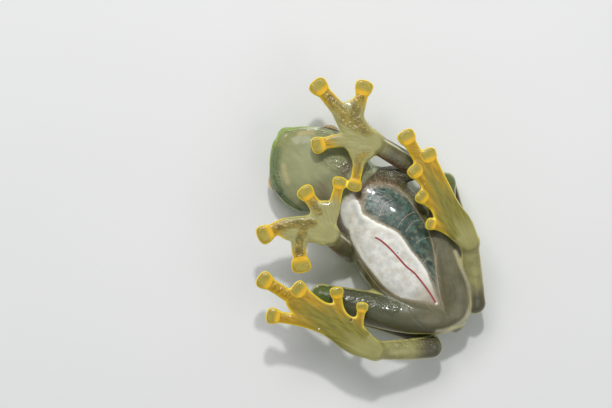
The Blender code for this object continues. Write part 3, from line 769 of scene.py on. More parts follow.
def head_forms(eye_radius):
    """The head's forms with their fillets, and what is cut from it: sockets, nostrils and mouth."""
    head = head_form()
    forms = {"head": (head, 0.1)}
    removed = []
    for side, mirror in SIDES.items():
        eye, gaze = eye_place(head, mirror)
        knob, pit = (head.point(ahead, offset * mirror, level) for ahead, offset, level in NOSTRIL)
        forms["head_lid_" + side] = (Ball(eye, eye_radius + LID_THICKNESS), 0.45)
        removed.append((Ball(eye, eye_radius + SOCKET_GAP), 0.03))
        removed.append((Ball(eye + gaze * LID_OPENING_AHEAD, LID_OPENING_RADIUS), 0.12))
        forms["head_knob_" + side] = (Ball(knob, NOSTRIL_KNOB_RADIUS), 0.25)
        removed.append((Ball(pit, NOSTRIL_PIT_RADIUS), 0.08))
    forms["head_lip"] = (Limb(lip_path(head, LIP_LEVEL, LIP_INSET), LIP, MOUTH_STEPS), 0.25)
    forms["head_snout"] = (Ball(SNOUT_BUMP, SNOUT_BUMP_RADIUS), 0.4)
    removed.append((Limb(lip_path(head, MOUTH_LEVEL, 0.0), MOUTH, MOUTH_STEPS), 0.06))
    return forms, removed


def paw_forms(name, pads, digits, webs):
    """The pads, digits, discs and webs of a hand or a foot, with their fillets."""
    forms = {}
    for order, (path, widths) in enumerate(pads):
        path = [(*point, PAD_LEVEL) for point in path]
        shares = np.linspace(0.0, 1.0, len(widths))
        shape = [(share, width, PAD_HALF_DEPTH) for share, width in zip(shares, widths)]
        forms[f"{name}_pad_{order}"] = (Limb(path, shape, squareness=2.6), 0.7)
    for order, (path, half_width) in enumerate(digits):
        path = [(*point, DIGIT_LEVEL) for point in path]
        shape = [(share, width * half_width, depth) for share, width, depth in DIGIT]
        digit = Limb(path, shape, squareness=2.5)
        forms[f"{name}_digit_{order}"] = (digit, 0.35)
        heading = digit.points[-1] - digit.points[-2]
        disc = Disc(digit.points[-1] + UPWARD * DISC_LIFT, heading, half_width)
        forms[f"{name}_disc_{order}"] = (disc, 0.3)
    for order, web in enumerate(webs):
        skin = Web(web_outline(digits, web), WEB_LEVEL, WEB_HALF_THICKNESS)
        forms[f"{name}_web_{order}"] = (skin, 0.3)
    return forms


def build_parts(eye_radius):
    """The parts of the body in the order in which they join: their fillets and their forms by name."""
    parts = {
        "trunk": (0.1, {"trunk": (Barrel(TRUNK, TRUNK_SQUARENESS, MIDLINE_START), 0.1)}),
        "head": (0.9, head_forms(eye_radius)[0]),
    }
    for side, pose in POSE.items():
        knee = (pose["thigh"][-1], pose["shank"][0])
        heel = (pose["shank"][-1], pose["tarsus"][0])
        upper_arm = {"upper_arm": (Limb(pose["upper_arm"], UPPER_ARM), 0.1)}
        arm = {"forearm": (Limb(pose["forearm"], FOREARM), 0.1)}
        arm.update(paw_forms("hand", pose["pads"], pose["fingers"], pose["finger_webs"]))
        thigh = {"thigh": (Limb(pose["thigh"], THIGH, 16), 0.1), "knee": (Limb(knee, KNEE, 3), 0.4)}
        shank = {"shank": (Limb(pose["shank"], SHANK, 14), 0.1)}
        leg = {"heel": (Limb(heel, HEEL, 3), 0.1), "tarsus": (Limb(pose["tarsus"], TARSUS), 0.4)}
        leg.update(paw_forms("foot", pose["sole"], pose["toes"], pose["toe_webs"]))
        for name, fillet, forms in (
            ("upper_arm", 0.7, upper_arm),
            ("arm", 0.3, arm),
            ("thigh", 0.9, thigh),
            ("shank", 0.25, shank),
            ("leg", 0.25, leg),
        ):
            parts[f"{name}_{side}"] = (fillet, forms)
    return parts


def sculpt(step, eye_radius):
    """The whole body as one field, with its parts."""
    low, high = (np.array(corner) / MM for corner in CAD_BOUNDS)
    whole = Field(low, high, step)
    piece = Field(low, high, step)
    parts = build_parts(eye_radius)
    for name, (joint_fillet, forms) in parts.items():
        piece.clear()
        for form, fillet in forms.values():
            piece.add(form, fillet)
        whole.values = smooth_min(whole.values, piece.values, joint_fillet)
        if name == "trunk":
            whole.keep_under(BELLY_LEVEL, 0.5)
    for form, fillet in head_forms(eye_radius)[1]:
        whole.cut(form, fillet)
    whole.keep_under(PANE - 0.02, 0.1)
    whole.keep_over(0.02, 0.05)
    return whole, parts


def lattice_noise(points, size, seed):
    """Smooth noise from 0 to 1, with lumps of about the given size."""
    count = 48
    lattice = np.random.default_rng(seed).random((count, count, count))
    spots = points / size
    base = np.floor(spots).astype(int)
    part = spots - base
    return blend_corners(lattice, base, part * part * (3.0 - 2.0 * part))


def group_of(name):
    kind = next(word for word in GROUPS + tuple(GROUP_OF_JOINT) if name.startswith(word))
    return GROUP_OF_JOINT.get(kind, kind)


def survey(parts, corners, normals):
    """Marks for each corner of the skin: which form it is on, where on it, and what is near it."""
    count = len(corners)
    far = np.full(count, FAR_MARK)
    places = ("along", "across", "limb_across", "limb_share", "disc_ahead")
    marks = {name: np.zeros(count) for name in places}
    marks["disc"] = np.full(count, -1.0)
    marks["edge"] = far.copy()
    nearest = {group: far.copy() for group in GROUPS}
    nearest_part, digit_distance, limb_distance = far.copy(), far.copy(), far.copy()
    for _, forms in parts.values():
        part_distance, part_flat = far.copy(), far.copy()
        for name, (form, _) in forms.items():
            low, high = form.reach()
            near = np.all((corners > low - 0.8) & (corners < high + 0.8), axis=1)
            index = np.flatnonzero(near)
            x, y, z = corners[index].T
            if isinstance(form, Limb):
                distance, share, across = form.measure(x, y, z)
                if "digit" in name:
                    spots = distance < digit_distance[index]
                    digit_distance[index[spots]] = distance[spots]
                    marks["along"][index[spots]] = share[spots]
                    marks["across"][index[spots]] = across[spots]
                elif "pad" not in name and "lip" not in name:
                    spots = distance < limb_distance[index]
                    limb_distance[index[spots]] = distance[spots]
                    marks["limb_share"][index[spots]] = share[spots]
                    marks["limb_across"][index[spots]] = across[spots] / form.widths.max()
            else:
                distance = form.distance(x, y, z)
            if isinstance(form, Disc):
                spots = form.inner(x, y) > marks["disc"][index]
                marks["disc"][index[spots]] = form.inner(x, y)[spots]
                marks["disc_ahead"][index[spots]] = form.offsets(x, y)[0][spots] / form.halves[0]
            group = group_of(name)
            nearest[group][index] = np.minimum(nearest[group][index], distance)
            part_distance[index] = np.minimum(part_distance[index], distance)
            part_flat[index] = smooth_min(part_flat[index], form.flat(x, y), 0.25)
        owned = part_distance < nearest_part
        nearest_part[owned] = part_distance[owned]
        marks["edge"][owned] = -part_flat[owned]
    least = np.min(list(nearest.values()), axis=0)
    shares = {group: np.exp((least - nearest[group]) / 0.12) for group in GROUPS}
    total = sum(shares.values())
    for group in GROUPS:
        marks[group] = shares[group] / total
    marks["digit"] = ramp(digit_distance, 0.25, 0.0) * (marks["hand"] + marks["foot"])
    marks["up"] = normals[:, 2]
    mark_pressed(marks, corners)
    mark_drawings(marks, corners)
    mark_fans(marks, corners)
    trunk = parts["trunk"][1]["trunk"][0]
    marks["ahead"], marks["aside"], _ = trunk.local(*corners.T)
    return marks


def mark_pressed(marks, corners):
    """Where the pane flattens the skin, and where it is loose and wet."""
    x, y, z = corners.T
    paw = marks["hand"] + marks["foot"]
    pressed = paw * ramp(z, PANE - 0.14, PANE - 0.06)
    pressed += marks["trunk"] * ramp(z, BELLY_LEVEL - 0.8, BELLY_LEVEL - 0.2)
    pressed += marks["head"] * ramp(z, THROAT_LEVEL - 0.9, THROAT_LEVEL - 0.2)
    pressed += marks["thigh"] * ramp(marks["up"], 0.5, 0.8) * 0.6
    wet = np.zeros(len(x))
    for path, radius in WET_ZONES:
        wet = np.maximum(wet, ramp(line_distance((path,), x, y), radius * 1.3, radius * 0.6))
    wet *= ramp(marks["up"], 0.0, 0.4)
    marks["wet"] = wet
    marks["pressed"] = np.clip(pressed, 0.0, 1.0) * (1.0 - wet)


def mark_drawings(marks, corners):
    """Distances from what is drawn on the underside."""
    x, y, _ = corners.T
    under = marks["up"] > 0.2
    sac, lobe, gut = (
        outline_distance(smooth_row(outline + outline[:1], 3)[:-1], x, y)
        for outline in (ORGAN_SAC, ORGAN_LOBE, GUT)
    )
    marks["organ"] = np.where(under, -smooth_min(sac, lobe, 0.25), -2.0)
    marks["gut"] = np.where(under, -gut, -2.0)
    for name, paths in DRAWINGS.items():
        marks[name] = line_distance(paths, x, y)
    for name, dots in DOTS.items():
        marks[name] = dot_distance(dots, x, y)


def mark_fans(marks, corners):
    """Places along and across the streaks of the palms and soles."""
    x, y, _ = corners.T
    marks["fan"] = np.zeros(len(x))
    marks["fan_reach"] = np.zeros(len(x))
    nearest = np.full(len(x), 1e6)
    for pose in POSE.values():
        for fan, pads in (("hand_fan", "pads"), ("foot_fan", "sole")):
            (centre_x, centre_y), angle = pose[fan]
            home = np.mean(pose[pads][0][0], axis=0)
            away = np.hypot(x - home[0], y - home[1])
            turn = np.arctan2(y - centre_y, x - centre_x) - math.radians(angle)
            turn = (turn + math.pi) % (2.0 * math.pi) - math.pi
            spots = away < nearest
            nearest[spots] = away[spots]
            marks["fan"][spots] = turn[spots] * 6.0
            marks["fan_reach"][spots] = np.hypot(x - centre_x, y - centre_y)[spots]


def relief(corners, marks, shape):
    """Heights over the smooth form: granules, streaks, creases and what shows under the belly."""
    loose = 1.0 - marks["pressed"]
    paw = marks["hand"] + marks["foot"]
    below = ramp(marks["up"], 0.0, 0.4)
    granules = lattice_noise(corners, 0.34, 1) + 0.6 * lattice_noise(corners, 0.22, 2) - 0.8
    height = shape.granules / MM * granules * (1.3 * marks["wet"] + 0.3 * loose) * (1.0 - 0.8 * paw)
    height += 0.04 * (lattice_noise(corners, 1.1, 5) - 0.5) * (1.0 - 0.7 * marks["pressed"])
    lie = np.stack((marks["fan"] / 0.2, marks["fan_reach"] / 1.4, 0.0 * marks["fan"]), 1)
    height += shape.streaks / MM * (lattice_noise(lie, 1.0, 3) - 0.5) * paw * below
    creases = (
        ramp(np.abs(marks["across"]) - 0.42, 0.1, 0.0) * marks["digit"] * below,
        ramp(marks["fold"], 0.16, 0.02) * (marks["trunk"] + marks["thigh"]) * below,
        ramp(np.abs(marks["disc"] - 0.2), 0.08, 0.02) * ramp(marks["disc_ahead"], -0.2, 0.3),
        ramp(marks["dark_dot"], 0.12, 0.0) * below,
    )
    height -= CREASE_DEPTH * sum(creases)
    height += shape.vein / MM * ramp(marks["vein"], 0.2, 0.05) * marks["trunk"]
    height += shape.organ / MM * ramp(marks["organ"], -0.1, 0.25) * marks["trunk"]
    height += 0.06 * (lattice_noise(corners, 0.5, 7) - 0.5) * ramp(marks["up"], 0.1, -0.3)
    return height


def make_mesh(name, corners, quads):
    mesh = bpy.data.meshes.new(name)
    mesh.vertices.add(len(corners))
    mesh.vertices.foreach_set("co", (corners * MM).astype(np.float32).ravel())
    mesh.loops.add(quads.size)
    mesh.loops.foreach_set("vertex_index", quads.astype(np.int32).ravel())
    mesh.polygons.add(len(quads))
    mesh.polygons.foreach_set("loop_start", np.arange(0, quads.size, 4, dtype=np.int32))
    mesh.update(calc_edges=True)
    mesh.shade_smooth()
    return add_object(name, mesh)


def add_object(name, data):
    obj = bpy.data.objects.new(name, data)
    bpy.context.scene.collection.objects.link(obj)
    return obj


def add_marks(obj, marks):
    for name, values in marks.items():
        layer = obj.data.attributes.new(name, "FLOAT", "POINT")
        layer.data.foreach_set("value", np.asarray(values, np.float32))


def make_skin(shape):
    """The skin of the whole frog, with its marks as attributes."""
    field, parts = sculpt(shape.step / MM, shape.eye_radius / MM)
    corners, quads = field.surface()
    corners = settle(field, corners, quads)
    normals = field.slope(corners)
    marks = survey(parts, corners, normals)
    corners = corners + normals * relief(corners, marks, shape)[:, None]
    low, high = (np.array(corner) / MM for corner in CAD_BOUNDS)
    corners = np.clip(corners, low + 0.01, high - 0.01)
    skin = make_mesh("skin", corners, quads)
    add_marks(skin, marks)
    return skin


def make_eye(name, mirror, shape):
    """An eyeball with a cornea that stands proud, and marks for the iris in degrees from its middle."""
    head = head_form()
    centre, gaze = eye_place(head, mirror)
    across = np.cross(head.up, gaze)
    across /= np.linalg.norm(across)
    rise = np.cross(gaze, across)
    count = EYE_RING_CORNERS
    bend = np.linspace(0.0, math.pi, EYE_RINGS + 1)[1:-1]
    turn = np.linspace(0.0, 2.0 * math.pi, count, endpoint=False)
    bend, turn = (grid.ravel() for grid in np.meshgrid(bend, turn, indexing="ij"))
    bend = np.concatenate(((0.0,), bend, (math.pi,)))
    turn = np.concatenate(((0.0,), turn, (0.0,)))
    radius = shape.eye_radius / MM + shape.cornea / MM * ramp(bend, CORNEA_EDGE, CORNEA_TOP_EDGE)
    ahead = np.cos(bend)[:, None] * gaze
    beside = (np.sin(bend) * np.cos(turn))[:, None] * across + (np.sin(bend) * np.sin(turn))[:, None] * rise
    corners = centre + radius[:, None] * (ahead + beside)
    faces = []
    for ring in range(EYE_RINGS - 2):
        for step in range(count):
            one, two = 1 + ring * count + step, 1 + ring * count + (step + 1) % count
            faces.append((one, one + count, two + count, two))
    last = len(corners) - 1
    for step in range(count):
        faces.append((0, 1 + step, 1 + (step + 1) % count))
        faces.append((last, last - count + (step + 1) % count, last - count + step))
    mesh = bpy.data.meshes.new(name)
    mesh.from_pydata((corners * MM).tolist(), [], faces)
    mesh.shade_smooth()
    eye = add_object(name, mesh)
    degrees = np.degrees(bend)
    add_marks(eye, {"iris_across": degrees * np.cos(turn), "iris_rise": degrees * np.sin(turn)})
    return eye


class Paint:
    """Builds a material's nodes, one layer over another."""

    def __init__(self, name):
        self.material = bpy.data.materials.new(name)
        self.material.use_nodes = True
        self.nodes = self.material.node_tree.nodes
        self.links = self.material.node_tree.links
        self.shader = self.nodes["Principled BSDF"]
        self.place = self.nodes.new("ShaderNodeTexCoord").outputs["Object"]
        self.colour = None

    def feed(self, socket, value):
        """Sets a socket from another socket, the name of a mark, a number or a colour."""
        if isinstance(value, str):
            value = self.mark(value)
        if isinstance(value, bpy.types.NodeSocket):
            self.links.new(value, socket)
        elif isinstance(value, float):
            socket.default_value = value
        else:
            socket.default_value = (*value, 1.0)

    def mark(self, name):
        node = self.nodes.new("ShaderNodeAttribute")
        node.attribute_name = name
        return node.outputs["Fac"]

    def texture(self, kind, place, scale, detail):
        node = self.nodes.new(kind)
        node.inputs["Scale"].default_value = scale
        node.inputs["Detail"].default_value = detail
        self.links.new(place, node.inputs["Vector"])
        return node.outputs

    def noise(self, size, detail=2.0):
        """Noise with lumps of a size in millimetres."""
        return self.texture("ShaderNodeTexNoise", self.place, 1.0 / (size * MM), detail)["Fac"]

    def streaks(self, along, across, length, width):
        """Noise drawn out along one mark and narrow across another."""
        joined = self.nodes.new("ShaderNodeCombineXYZ")
        self.feed(joined.inputs["X"], self.math("MULTIPLY", across, 1.0 / width))
        self.feed(joined.inputs["Y"], self.math("MULTIPLY", along, 1.0 / length))
        return self.texture("ShaderNodeTexNoise", joined.outputs["Vector"], 1.0, 3.0)["Fac"]

    def cells(self, size):
        """Distances from scattered points that lie about a size in millimetres apart."""
        return self.texture("ShaderNodeTexVoronoi", self.place, 1.0 / (size * MM), 0.0)["Distance"]

    def math(self, operation, *values):
        node = self.nodes.new("ShaderNodeMath")
        node.operation = operation
        for socket, value in zip(node.inputs, values):
            self.feed(socket, value)
        return node.outputs["Value"]

    def times(self, *factors):
        product = factors[0]
        for factor in factors[1:]:
            product = self.math("MULTIPLY", product, factor)
        return product

    def plus(self, *terms):
        total = terms[0]
        for term in terms[1:]:
            total = self.math("ADD", total, term)
        return total

    def ramp(self, value, low, high):
        """0 at low and 1 at high, with a smooth step between them; low may be above high."""
        node = self.nodes.new("ShaderNodeMapRange")
        node.interpolation_type = "SMOOTHSTEP"
        flipped = low > high
        self.feed(node.inputs["Value"], value)
        self.feed(node.inputs["From Min"], min(low, high))
        self.feed(node.inputs["From Max"], max(low, high))
        self.feed(node.inputs["To Min"], 1.0 if flipped else 0.0)
        self.feed(node.inputs["To Max"], 0.0 if flipped else 1.0)
        return node.outputs["Result"]

    def uneven(self, name, low, high, size, amount):
        """A ramp along a mark that noise shifts to and fro by an amount."""
        centred = self.math("ADD", name, -0.5 * amount)
        shifted = self.math("MULTIPLY_ADD", self.noise(size, 3.0), amount, centred)
        return self.ramp(shifted, low, high)

    def line(self, name, centre, low, high):
        """A ramp along the distance from one value of a mark."""
        return self.ramp(self.math("ABSOLUTE", self.math("ADD", name, -centre)), low, high)

    def span(self, one, other):
        """The length of a step of one value and a step of the other, at right angles."""
        return self.math("SQRT", self.plus(self.times(one, one), self.times(other, other)))

    def mix(self, under, over, mask):
        node = self.nodes.new("ShaderNodeMix")
        node.data_type = "RGBA"
        self.feed(node.inputs["Factor"], mask)
        self.feed(node.inputs[6], under)
        self.feed(node.inputs[7], over)
        return node.outputs[2]

    def blotched(self, one, other, size, low=0.35, high=0.65):
        """Two tones blended by noise."""
        return self.mix(one, other, self.ramp(self.noise(size, 3.0), low, high))

    def mottled(self, colour, dark, bright, size, low=0.35, high=0.65):
        """A colour blended by noise between a darker and a brighter shade."""
        return self.blotched(shade(colour, dark), shade(colour, bright), size, low, high)

    def lay(self, colour, *masks):
        """Covers what is painted so far with a colour where all the masks are 1."""
        if self.colour is None:
            self.colour = colour
        else:
            self.colour = self.mix(self.colour, colour, self.times(*masks))

    def bump(self, height, strength, depth):
        """Roughens the surface by a height, to a depth in millimetres."""
        node = self.nodes.new("ShaderNodeBump")
        self.feed(node.inputs["Strength"], strength)
        self.feed(node.inputs["Distance"], depth * MM)
        self.feed(node.inputs["Height"], height)
        self.links.new(node.outputs["Normal"], self.shader.inputs["Normal"])

    def finish(self, inputs):
        """Hands the colour and other inputs to the shader, and returns the material."""
        self.feed(self.shader.inputs["Base Color"], self.colour)
        for name, value in inputs.items():
            self.feed(self.shader.inputs[name], value)
        return self.material


def paint_trunk(paint, colours):
    chest, gut, organ, cream = colours.chest, colours.gut, colours.organ, colours.membrane
    paint.lay(paint.mottled(colours.flank, 0.7, 1.25, 1.0))
    paint.lay(paint.mottled(colours.pelvis, 1.0, 1.25, 1.4), paint.ramp("ahead", 6.0, 3.0), "trunk")
    paint.lay(paint.mottled(chest, 0.7, 1.3, 0.5), paint.ramp("ahead", 10.8, 11.8), "trunk")
    # Painted shade: the chest made darker along its line below the left forearm.
    paint.lay(shade(chest, 0.55), paint.uneven("blush", 0.9, 0.2, 0.5, 0.6), "trunk", 0.6)
    paint.lay(cream, paint.ramp("chest_margin", 0.45, 0.1), "trunk", 0.8)
    margin = paint.uneven("gut", -0.4, 0.0, 0.6, 0.3)
    paint.lay(cream, margin, paint.ramp("ahead", 8.0, 9.5), "trunk", 0.45)
    inside_gut = paint.uneven("gut", -0.15, 0.15, 0.5, 0.35)
    teal = paint.mottled(gut, 0.6, 1.45, 0.75, 0.38, 0.62)
    teal = paint.mix(teal, shade(gut, 0.35), paint.ramp(paint.noise(0.3, 4.0), 0.5, 0.7))
    specks = paint.ramp(paint.noise(0.45, 4.0), 0.5, 0.7)
    teal = paint.mix(teal, shade(cream, 0.75), paint.times(specks, 0.4))
    paint.lay(teal, inside_gut, "trunk")
    fade = paint.uneven("gut", 0.55, 0.1, 0.4, 0.4)
    paint.lay(shade(cream, 0.9), fade, paint.ramp("ahead", 9.5, 11.0), inside_gut, "trunk", 0.55)
    paint.lay(colours.vessel, paint.ramp("vessel", 0.06, 0.01), inside_gut, "trunk", 0.5)
    paint.lay(cream, paint.ramp("organ", -0.35, -0.03), "trunk", 0.6)
    white = paint.mottled(organ, 1.0, 0.8, 0.8)
    for colour, mask, strength in (
        (shade(cream, 1.1), paint.ramp(paint.noise(0.7, 4.0), 0.45, 0.7), 0.4),
        (shade(organ, 1.12), paint.ramp("organ", 0.55, 0.1), 0.8),
        (shade(cream, 0.8), paint.ramp("ahead", 3.4, 0.4), 0.8),
    ):
        white = paint.mix(white, colour, paint.times(mask, strength))
    paint.lay(white, paint.uneven("organ", -0.06, 0.08, 0.3, 0.2), "trunk")
    paint.lay(tone(140, 146, 142), paint.uneven("organ_shade", 0.5, 0.0, 0.4, 0.5), "trunk", 0.45)
    streak = paint.ramp(paint.streaks("ahead", "aside", 3.0, 0.3), 0.45, 0.7)
    hips = paint.times(paint.ramp("ahead", 6.0, 3.0), paint.ramp("organ", 0.0, -0.3))
    paint.lay(shade(cream, 0.95), streak, hips, "trunk", 0.3)
    paint.lay(shade(cream, 1.2), paint.ramp("fold", 0.1, 0.02), paint.plus("trunk", "thigh"), 0.45)
    paint.lay(colours.vein, paint.uneven("vein", 0.13, 0.06, 0.2, 0.05), "trunk")
    paint.lay(shade(colours.vein, 1.5), paint.ramp("vein", 0.05, 0.01), "trunk", 0.4)


def paint_head(paint, colours):
    throat, lip = colours.throat, colours.lip
    skin = paint.mottled(throat, 0.85, 1.1, 1.5)
    skin = paint.mix(skin, tone(140, 140, 84), paint.times(paint.ramp("ahead", 20.0, 22.5), 0.6))
    middle = paint.times(paint.ramp("edge", 1.6, 3.6), paint.ramp("ahead", 17.0, 19.0))
    rays = paint.ramp(paint.streaks("ahead", "aside", 2.5, 0.3), 0.45, 0.7)
    # Painted highlight: a pale rim along the throat's upper edge, where it faces the light.
    highlight_rim = paint.times(paint.ramp("edge", 0.6, 0.15), paint.ramp("aside", 1.4, 3.2))
    paint.lay(skin, "head")
    for colour, mask, strength in (
        (tone(196, 180, 132), paint.uneven("cream", 0.5, 0.0, 0.6, 0.3), 0.55),
        # Painted shade: purple-brown on the throat along its drawn lines.
        (tone(96, 74, 66), paint.uneven("dusk", 1.1, 0.0, 0.8, 0.8), 0.6),
        (shade(throat, 1.35), middle, 0.45),
        (tone(176, 170, 132), rays, 0.16),
        (shade(lip, 1.2), paint.uneven("edge", 0.75, 0.15, 0.5, 0.2), 0.4),
        (paint.mottled(lip, 0.8, 1.2, 0.3), paint.uneven("lip_band", 0.7, 0.25, 0.4, 0.3), 0.7),
        # Painted shade: the lip darkened along its lower side, where the jaw turns away from the light.
        (shade(lip, 0.45), paint.uneven("lip_dark", 0.7, 0.15, 0.4, 0.3), 0.8),
        # Painted highlight along the throat's upper edge.
        (tone(214, 220, 196), highlight_rim, 0.8),
        (tone(150, 164, 84), paint.ramp("edge", 0.24, 0.08), 0.85),
        # The green of the back on the snout's bump, made brighter as painted light.
        (shade(colours.back, 1.15), paint.ramp("snout", 0.45, 0.2), 0.9),
    ):
        paint.lay(colour, mask, "head", strength)


def paint_limbs(paint, colours):
    olive, brown, palm = colours.thigh, colours.shank, colours.palm
    arm = paint.mottled(olive, 0.75, 1.0, 0.9)
    arm = paint.mix(arm, shade(palm, 0.8), paint.ramp("limb_share", 0.6, 1.0))
    fibres = paint.ramp(paint.streaks("limb_share", "limb_across", 0.25, 0.1), 0.42, 0.68)
    cream = paint.mottled(palm, 0.75, 0.95, 0.8)
    cream = paint.mix(cream, shade(olive, 0.65), paint.ramp("limb_share", 0.45, 0.1))
    # The hip and leg rims are pale edge colour, partly a painted glow of light through the thin edges.
    hip, hip_rim = paint.plus("thigh", "trunk"), paint.uneven("hip_rim", 0.4, 0.05, 0.5, 0.1)
    leg, leg_rim = paint.plus("thigh", "tarsus", "shank"), paint.ramp("edge", 0.16, 0.08)
    for colour, mask, limb, strength in (
        (paint.mottled(olive, 0.6, 0.9, 0.8), 1.0, "upper_arm", 1.0),
        (arm, 1.0, "forearm", 1.0),
        # Painted highlight: a pale line along the upper edge of each forearm.
        (tone(208, 206, 178), paint.line("limb_across", 0.72, 0.14, 0.05), "forearm", 0.8),
        (tone(110, 60, 34), paint.ramp("limb_across", -0.55, -0.85), "forearm", 0.6),
        (paint.mottled(olive, 0.8, 1.1, 1.3), 1.0, "thigh", 1.0),
        (shade(olive, 1.5), fibres, "thigh", 0.22),
        (tone(80, 86, 64), paint.ramp("aside", -1.0, -4.0), "thigh", 0.7),
        (shade(brown, 0.8), paint.ramp("limb_across", -0.2, -0.8), "thigh", 0.65),
        (shade(colours.back, 0.45), paint.ramp("limb_share", 0.86, 0.97), "thigh", 0.7),
        (paint.mottled(brown, 0.8, 1.25, 0.8), 1.0, "shank", 1.0),
        (cream, 1.0, "tarsus", 1.0),
        # Pale rims of the hip and legs: partly edge colour, partly painted glow.
        (tone(210, 202, 168), hip_rim, hip, 0.6),
        (tone(214, 206, 130), leg_rim, leg, 0.65),
    ):
        paint.lay(colour, mask, limb, strength)


def paint_paws(paint, colours):
    gold = colours.gold
    paw = paint.plus("hand", "foot")
    streak = paint.ramp(paint.streaks("fan_reach", "fan", 1.5, 0.17), 0.36, 0.66)
    amber = paint.mix(shade(gold, 0.38), shade(gold, 0.62), streak)
    murky = paint.blotched(tone(112, 92, 22), tone(156, 134, 48), 0.6)
    murky = paint.mix(murky, tone(74, 64, 26), paint.ramp(paint.noise(0.9, 2.0), 0.5, 0.75))
    paint.lay(paint.mix(shade(colours.palm, 0.85), shade(colours.palm, 1.1), streak), "hand")
    paint.lay(paint.mix(shade(colours.sole, 0.85), shade(colours.sole, 1.25), streak), "foot")
    paint.lay(colours.palm, paint.ramp("along", 0.3, 0.0), "foot", 0.7)
    paint.lay(shade(gold, 0.55), paint.ramp("along", 0.35, 0.85), "foot", 0.55)
    paint.lay(amber, paint.ramp("along", 0.35, 0.8), "digit", "hand")
    paint.lay(amber, paint.ramp("along", 0.55, 0.9), "digit", "foot")
    paint.lay(murky, "wet", paint.ramp("edge", 0.1, 0.5), "hand", 0.7)
    paint.lay(shade(gold, 0.85), paint.ramp("edge", 0.34, 0.08), paint.ramp("along", 0.3, 0.7), paw, 0.75)
    disc = paint.ramp("disc", -0.04, 0.04)
    paint.lay(shade(gold, 0.75), disc, paw)
    paint.lay(shade(gold, 0.95), disc, paint.ramp("disc_ahead", -0.2, -0.7), paw, 0.7)
    centre = paint.times(paint.ramp("disc", 0.1, 0.28), paint.ramp("disc_ahead", -0.65, 0.0))
    paint.lay(paint.mottled(colours.disc, 1.0, 1.25, 0.35), centre, paw, 0.85)
    arc = paint.line("disc", 0.17, 0.06, 0.02)
    paint.lay(shade(gold, 0.35), arc, paint.ramp("disc_ahead", 0.0, 0.4), paw, 0.6)
    # Yellow margins along the outlines of the digits. They are partly the digits' own colour and partly a
    # painted glow of light through the thin edges.
    rim = paint.ramp("edge", 0.11, 0.05)
    paint.lay(tone(200, 192, 110), rim, paw, 0.7)
    paint.lay(colours.rim, rim, paint.ramp("along", 0.25, 0.6), paw, 0.9)


def paint_back(paint, colours):
    paint.lay(tone(226, 222, 206), paint.ramp("white_dot", 0.05, 0.0), paint.ramp("up", 0.3, 0.6))
    paint.lay(tone(58, 44, 26), paint.ramp("dark_dot", 0.05, 0.0), paint.ramp("up", 0.3, 0.6))
    paint.lay(colours.fringe, paint.ramp("up", 0.3, 0.05), 0.55)
    skin = paint.mottled(colours.back, 0.75, 1.2, 0.8)
    skin = paint.mix(skin, colours.back_spot, paint.ramp(paint.cells(1.3), 0.36, 0.24))
    body = paint.math("MULTIPLY_ADD", paint.plus("hand", "foot"), -0.75, 1.0)
    paint.lay(skin, paint.ramp("up", 0.0, -0.4), body)


def skin_material(colours):
    """Colours, gloss, grain and softness of the skin."""
    paint = Paint("frog_skin")
    for layer in (paint_trunk, paint_head, paint_limbs, paint_paws, paint_back):
        layer(paint, colours)
    rough = paint.math("MULTIPLY_ADD", "pressed", 0.16, 0.28)
    rough = paint.math("MULTIPLY_ADD", "wet", -0.14, rough)
    rough = paint.math("MULTIPLY_ADD", paint.noise(0.4), 0.1, rough)
    grain = paint.plus(paint.noise(0.2, 3.0), paint.times(paint.cells(0.28), 0.9))
    soft = paint.math("MULTIPLY_ADD", paint.plus("hand", "foot"), -0.75, 1.0)
    amount = paint.plus(paint.times("wet", soft, 1.5), paint.math("MULTIPLY_ADD", "pressed", -0.2, 0.3))
    paint.bump(paint.times(grain, amount), 0.9, 0.07)
    paint.shader.inputs["Subsurface Radius"].default_value = (1.0, 0.9, 0.5)
    return paint.finish({
        "Roughness": rough,
        "Subsurface Weight": 0.3,
        "Subsurface Scale": 0.4 * MM,
        "IOR": 1.4,
        "Coat Weight": 0.3,
        "Coat Roughness": 0.1,
    })


def eye_material(colours):
    """A flecked iris round a wide pupil, under a wet cornea."""
    paint = Paint("frog_eye")
    iris = colours.iris
    radius = paint.span("iris_across", "iris_rise")
    wide = paint.times("iris_across", 1.0 / PUPIL_HALF_WIDTH)
    tall = paint.times("iris_rise", 1.0 / PUPIL_HALF_HEIGHT)
    pupil = paint.span(wide, tall)
    paint.lay(paint.mottled(iris, 0.9, 1.3, 0.4))
    paint.lay(shade(iris, 0.18), paint.ramp(paint.noise(0.16, 5.0), 0.5, 0.66), 0.85)
    paint.lay(shade(iris, 1.5), paint.ramp(pupil, 1.5, 1.15), 0.8)
    paint.lay((0.004, 0.004, 0.004), paint.ramp(pupil, 1.08, 0.98))
    paint.lay(shade(iris, 0.12), paint.ramp(radius, 42.0, 47.0))
    paint.lay(shade(colours.back, 1.2), paint.ramp(radius, 50.0, 60.0))
    paint.bump(paint.noise(0.12, 3.0), 0.15, 0.01)
    rough = paint.math("MULTIPLY_ADD", paint.noise(0.3), 0.12, 0.2)
    return paint.finish({"Roughness": rough, "Coat Weight": 1.0, "Coat Roughness": 0.03})


def floor_material(colour):
    paint = Paint("floor")
    paint.lay(paint.mottled(colour, 1.0, 0.985, 30.0))
    return paint.finish({"Roughness": 0.85})


def length(name, description, default, precision=6):
    return bpy.props.FloatProperty(
        name=name, description=description, default=default, unit="LENGTH", precision=precision
    )


def colour(name, description, default):
    return bpy.props.FloatVectorProperty(
        name=name, description=description, default=default, size=3, min=0.0, max=1.0, subtype="COLOR"
    )


def number(name, description, default, unit="NONE"):
    return bpy.props.FloatProperty(name=name, description=description, default=default, unit=unit)


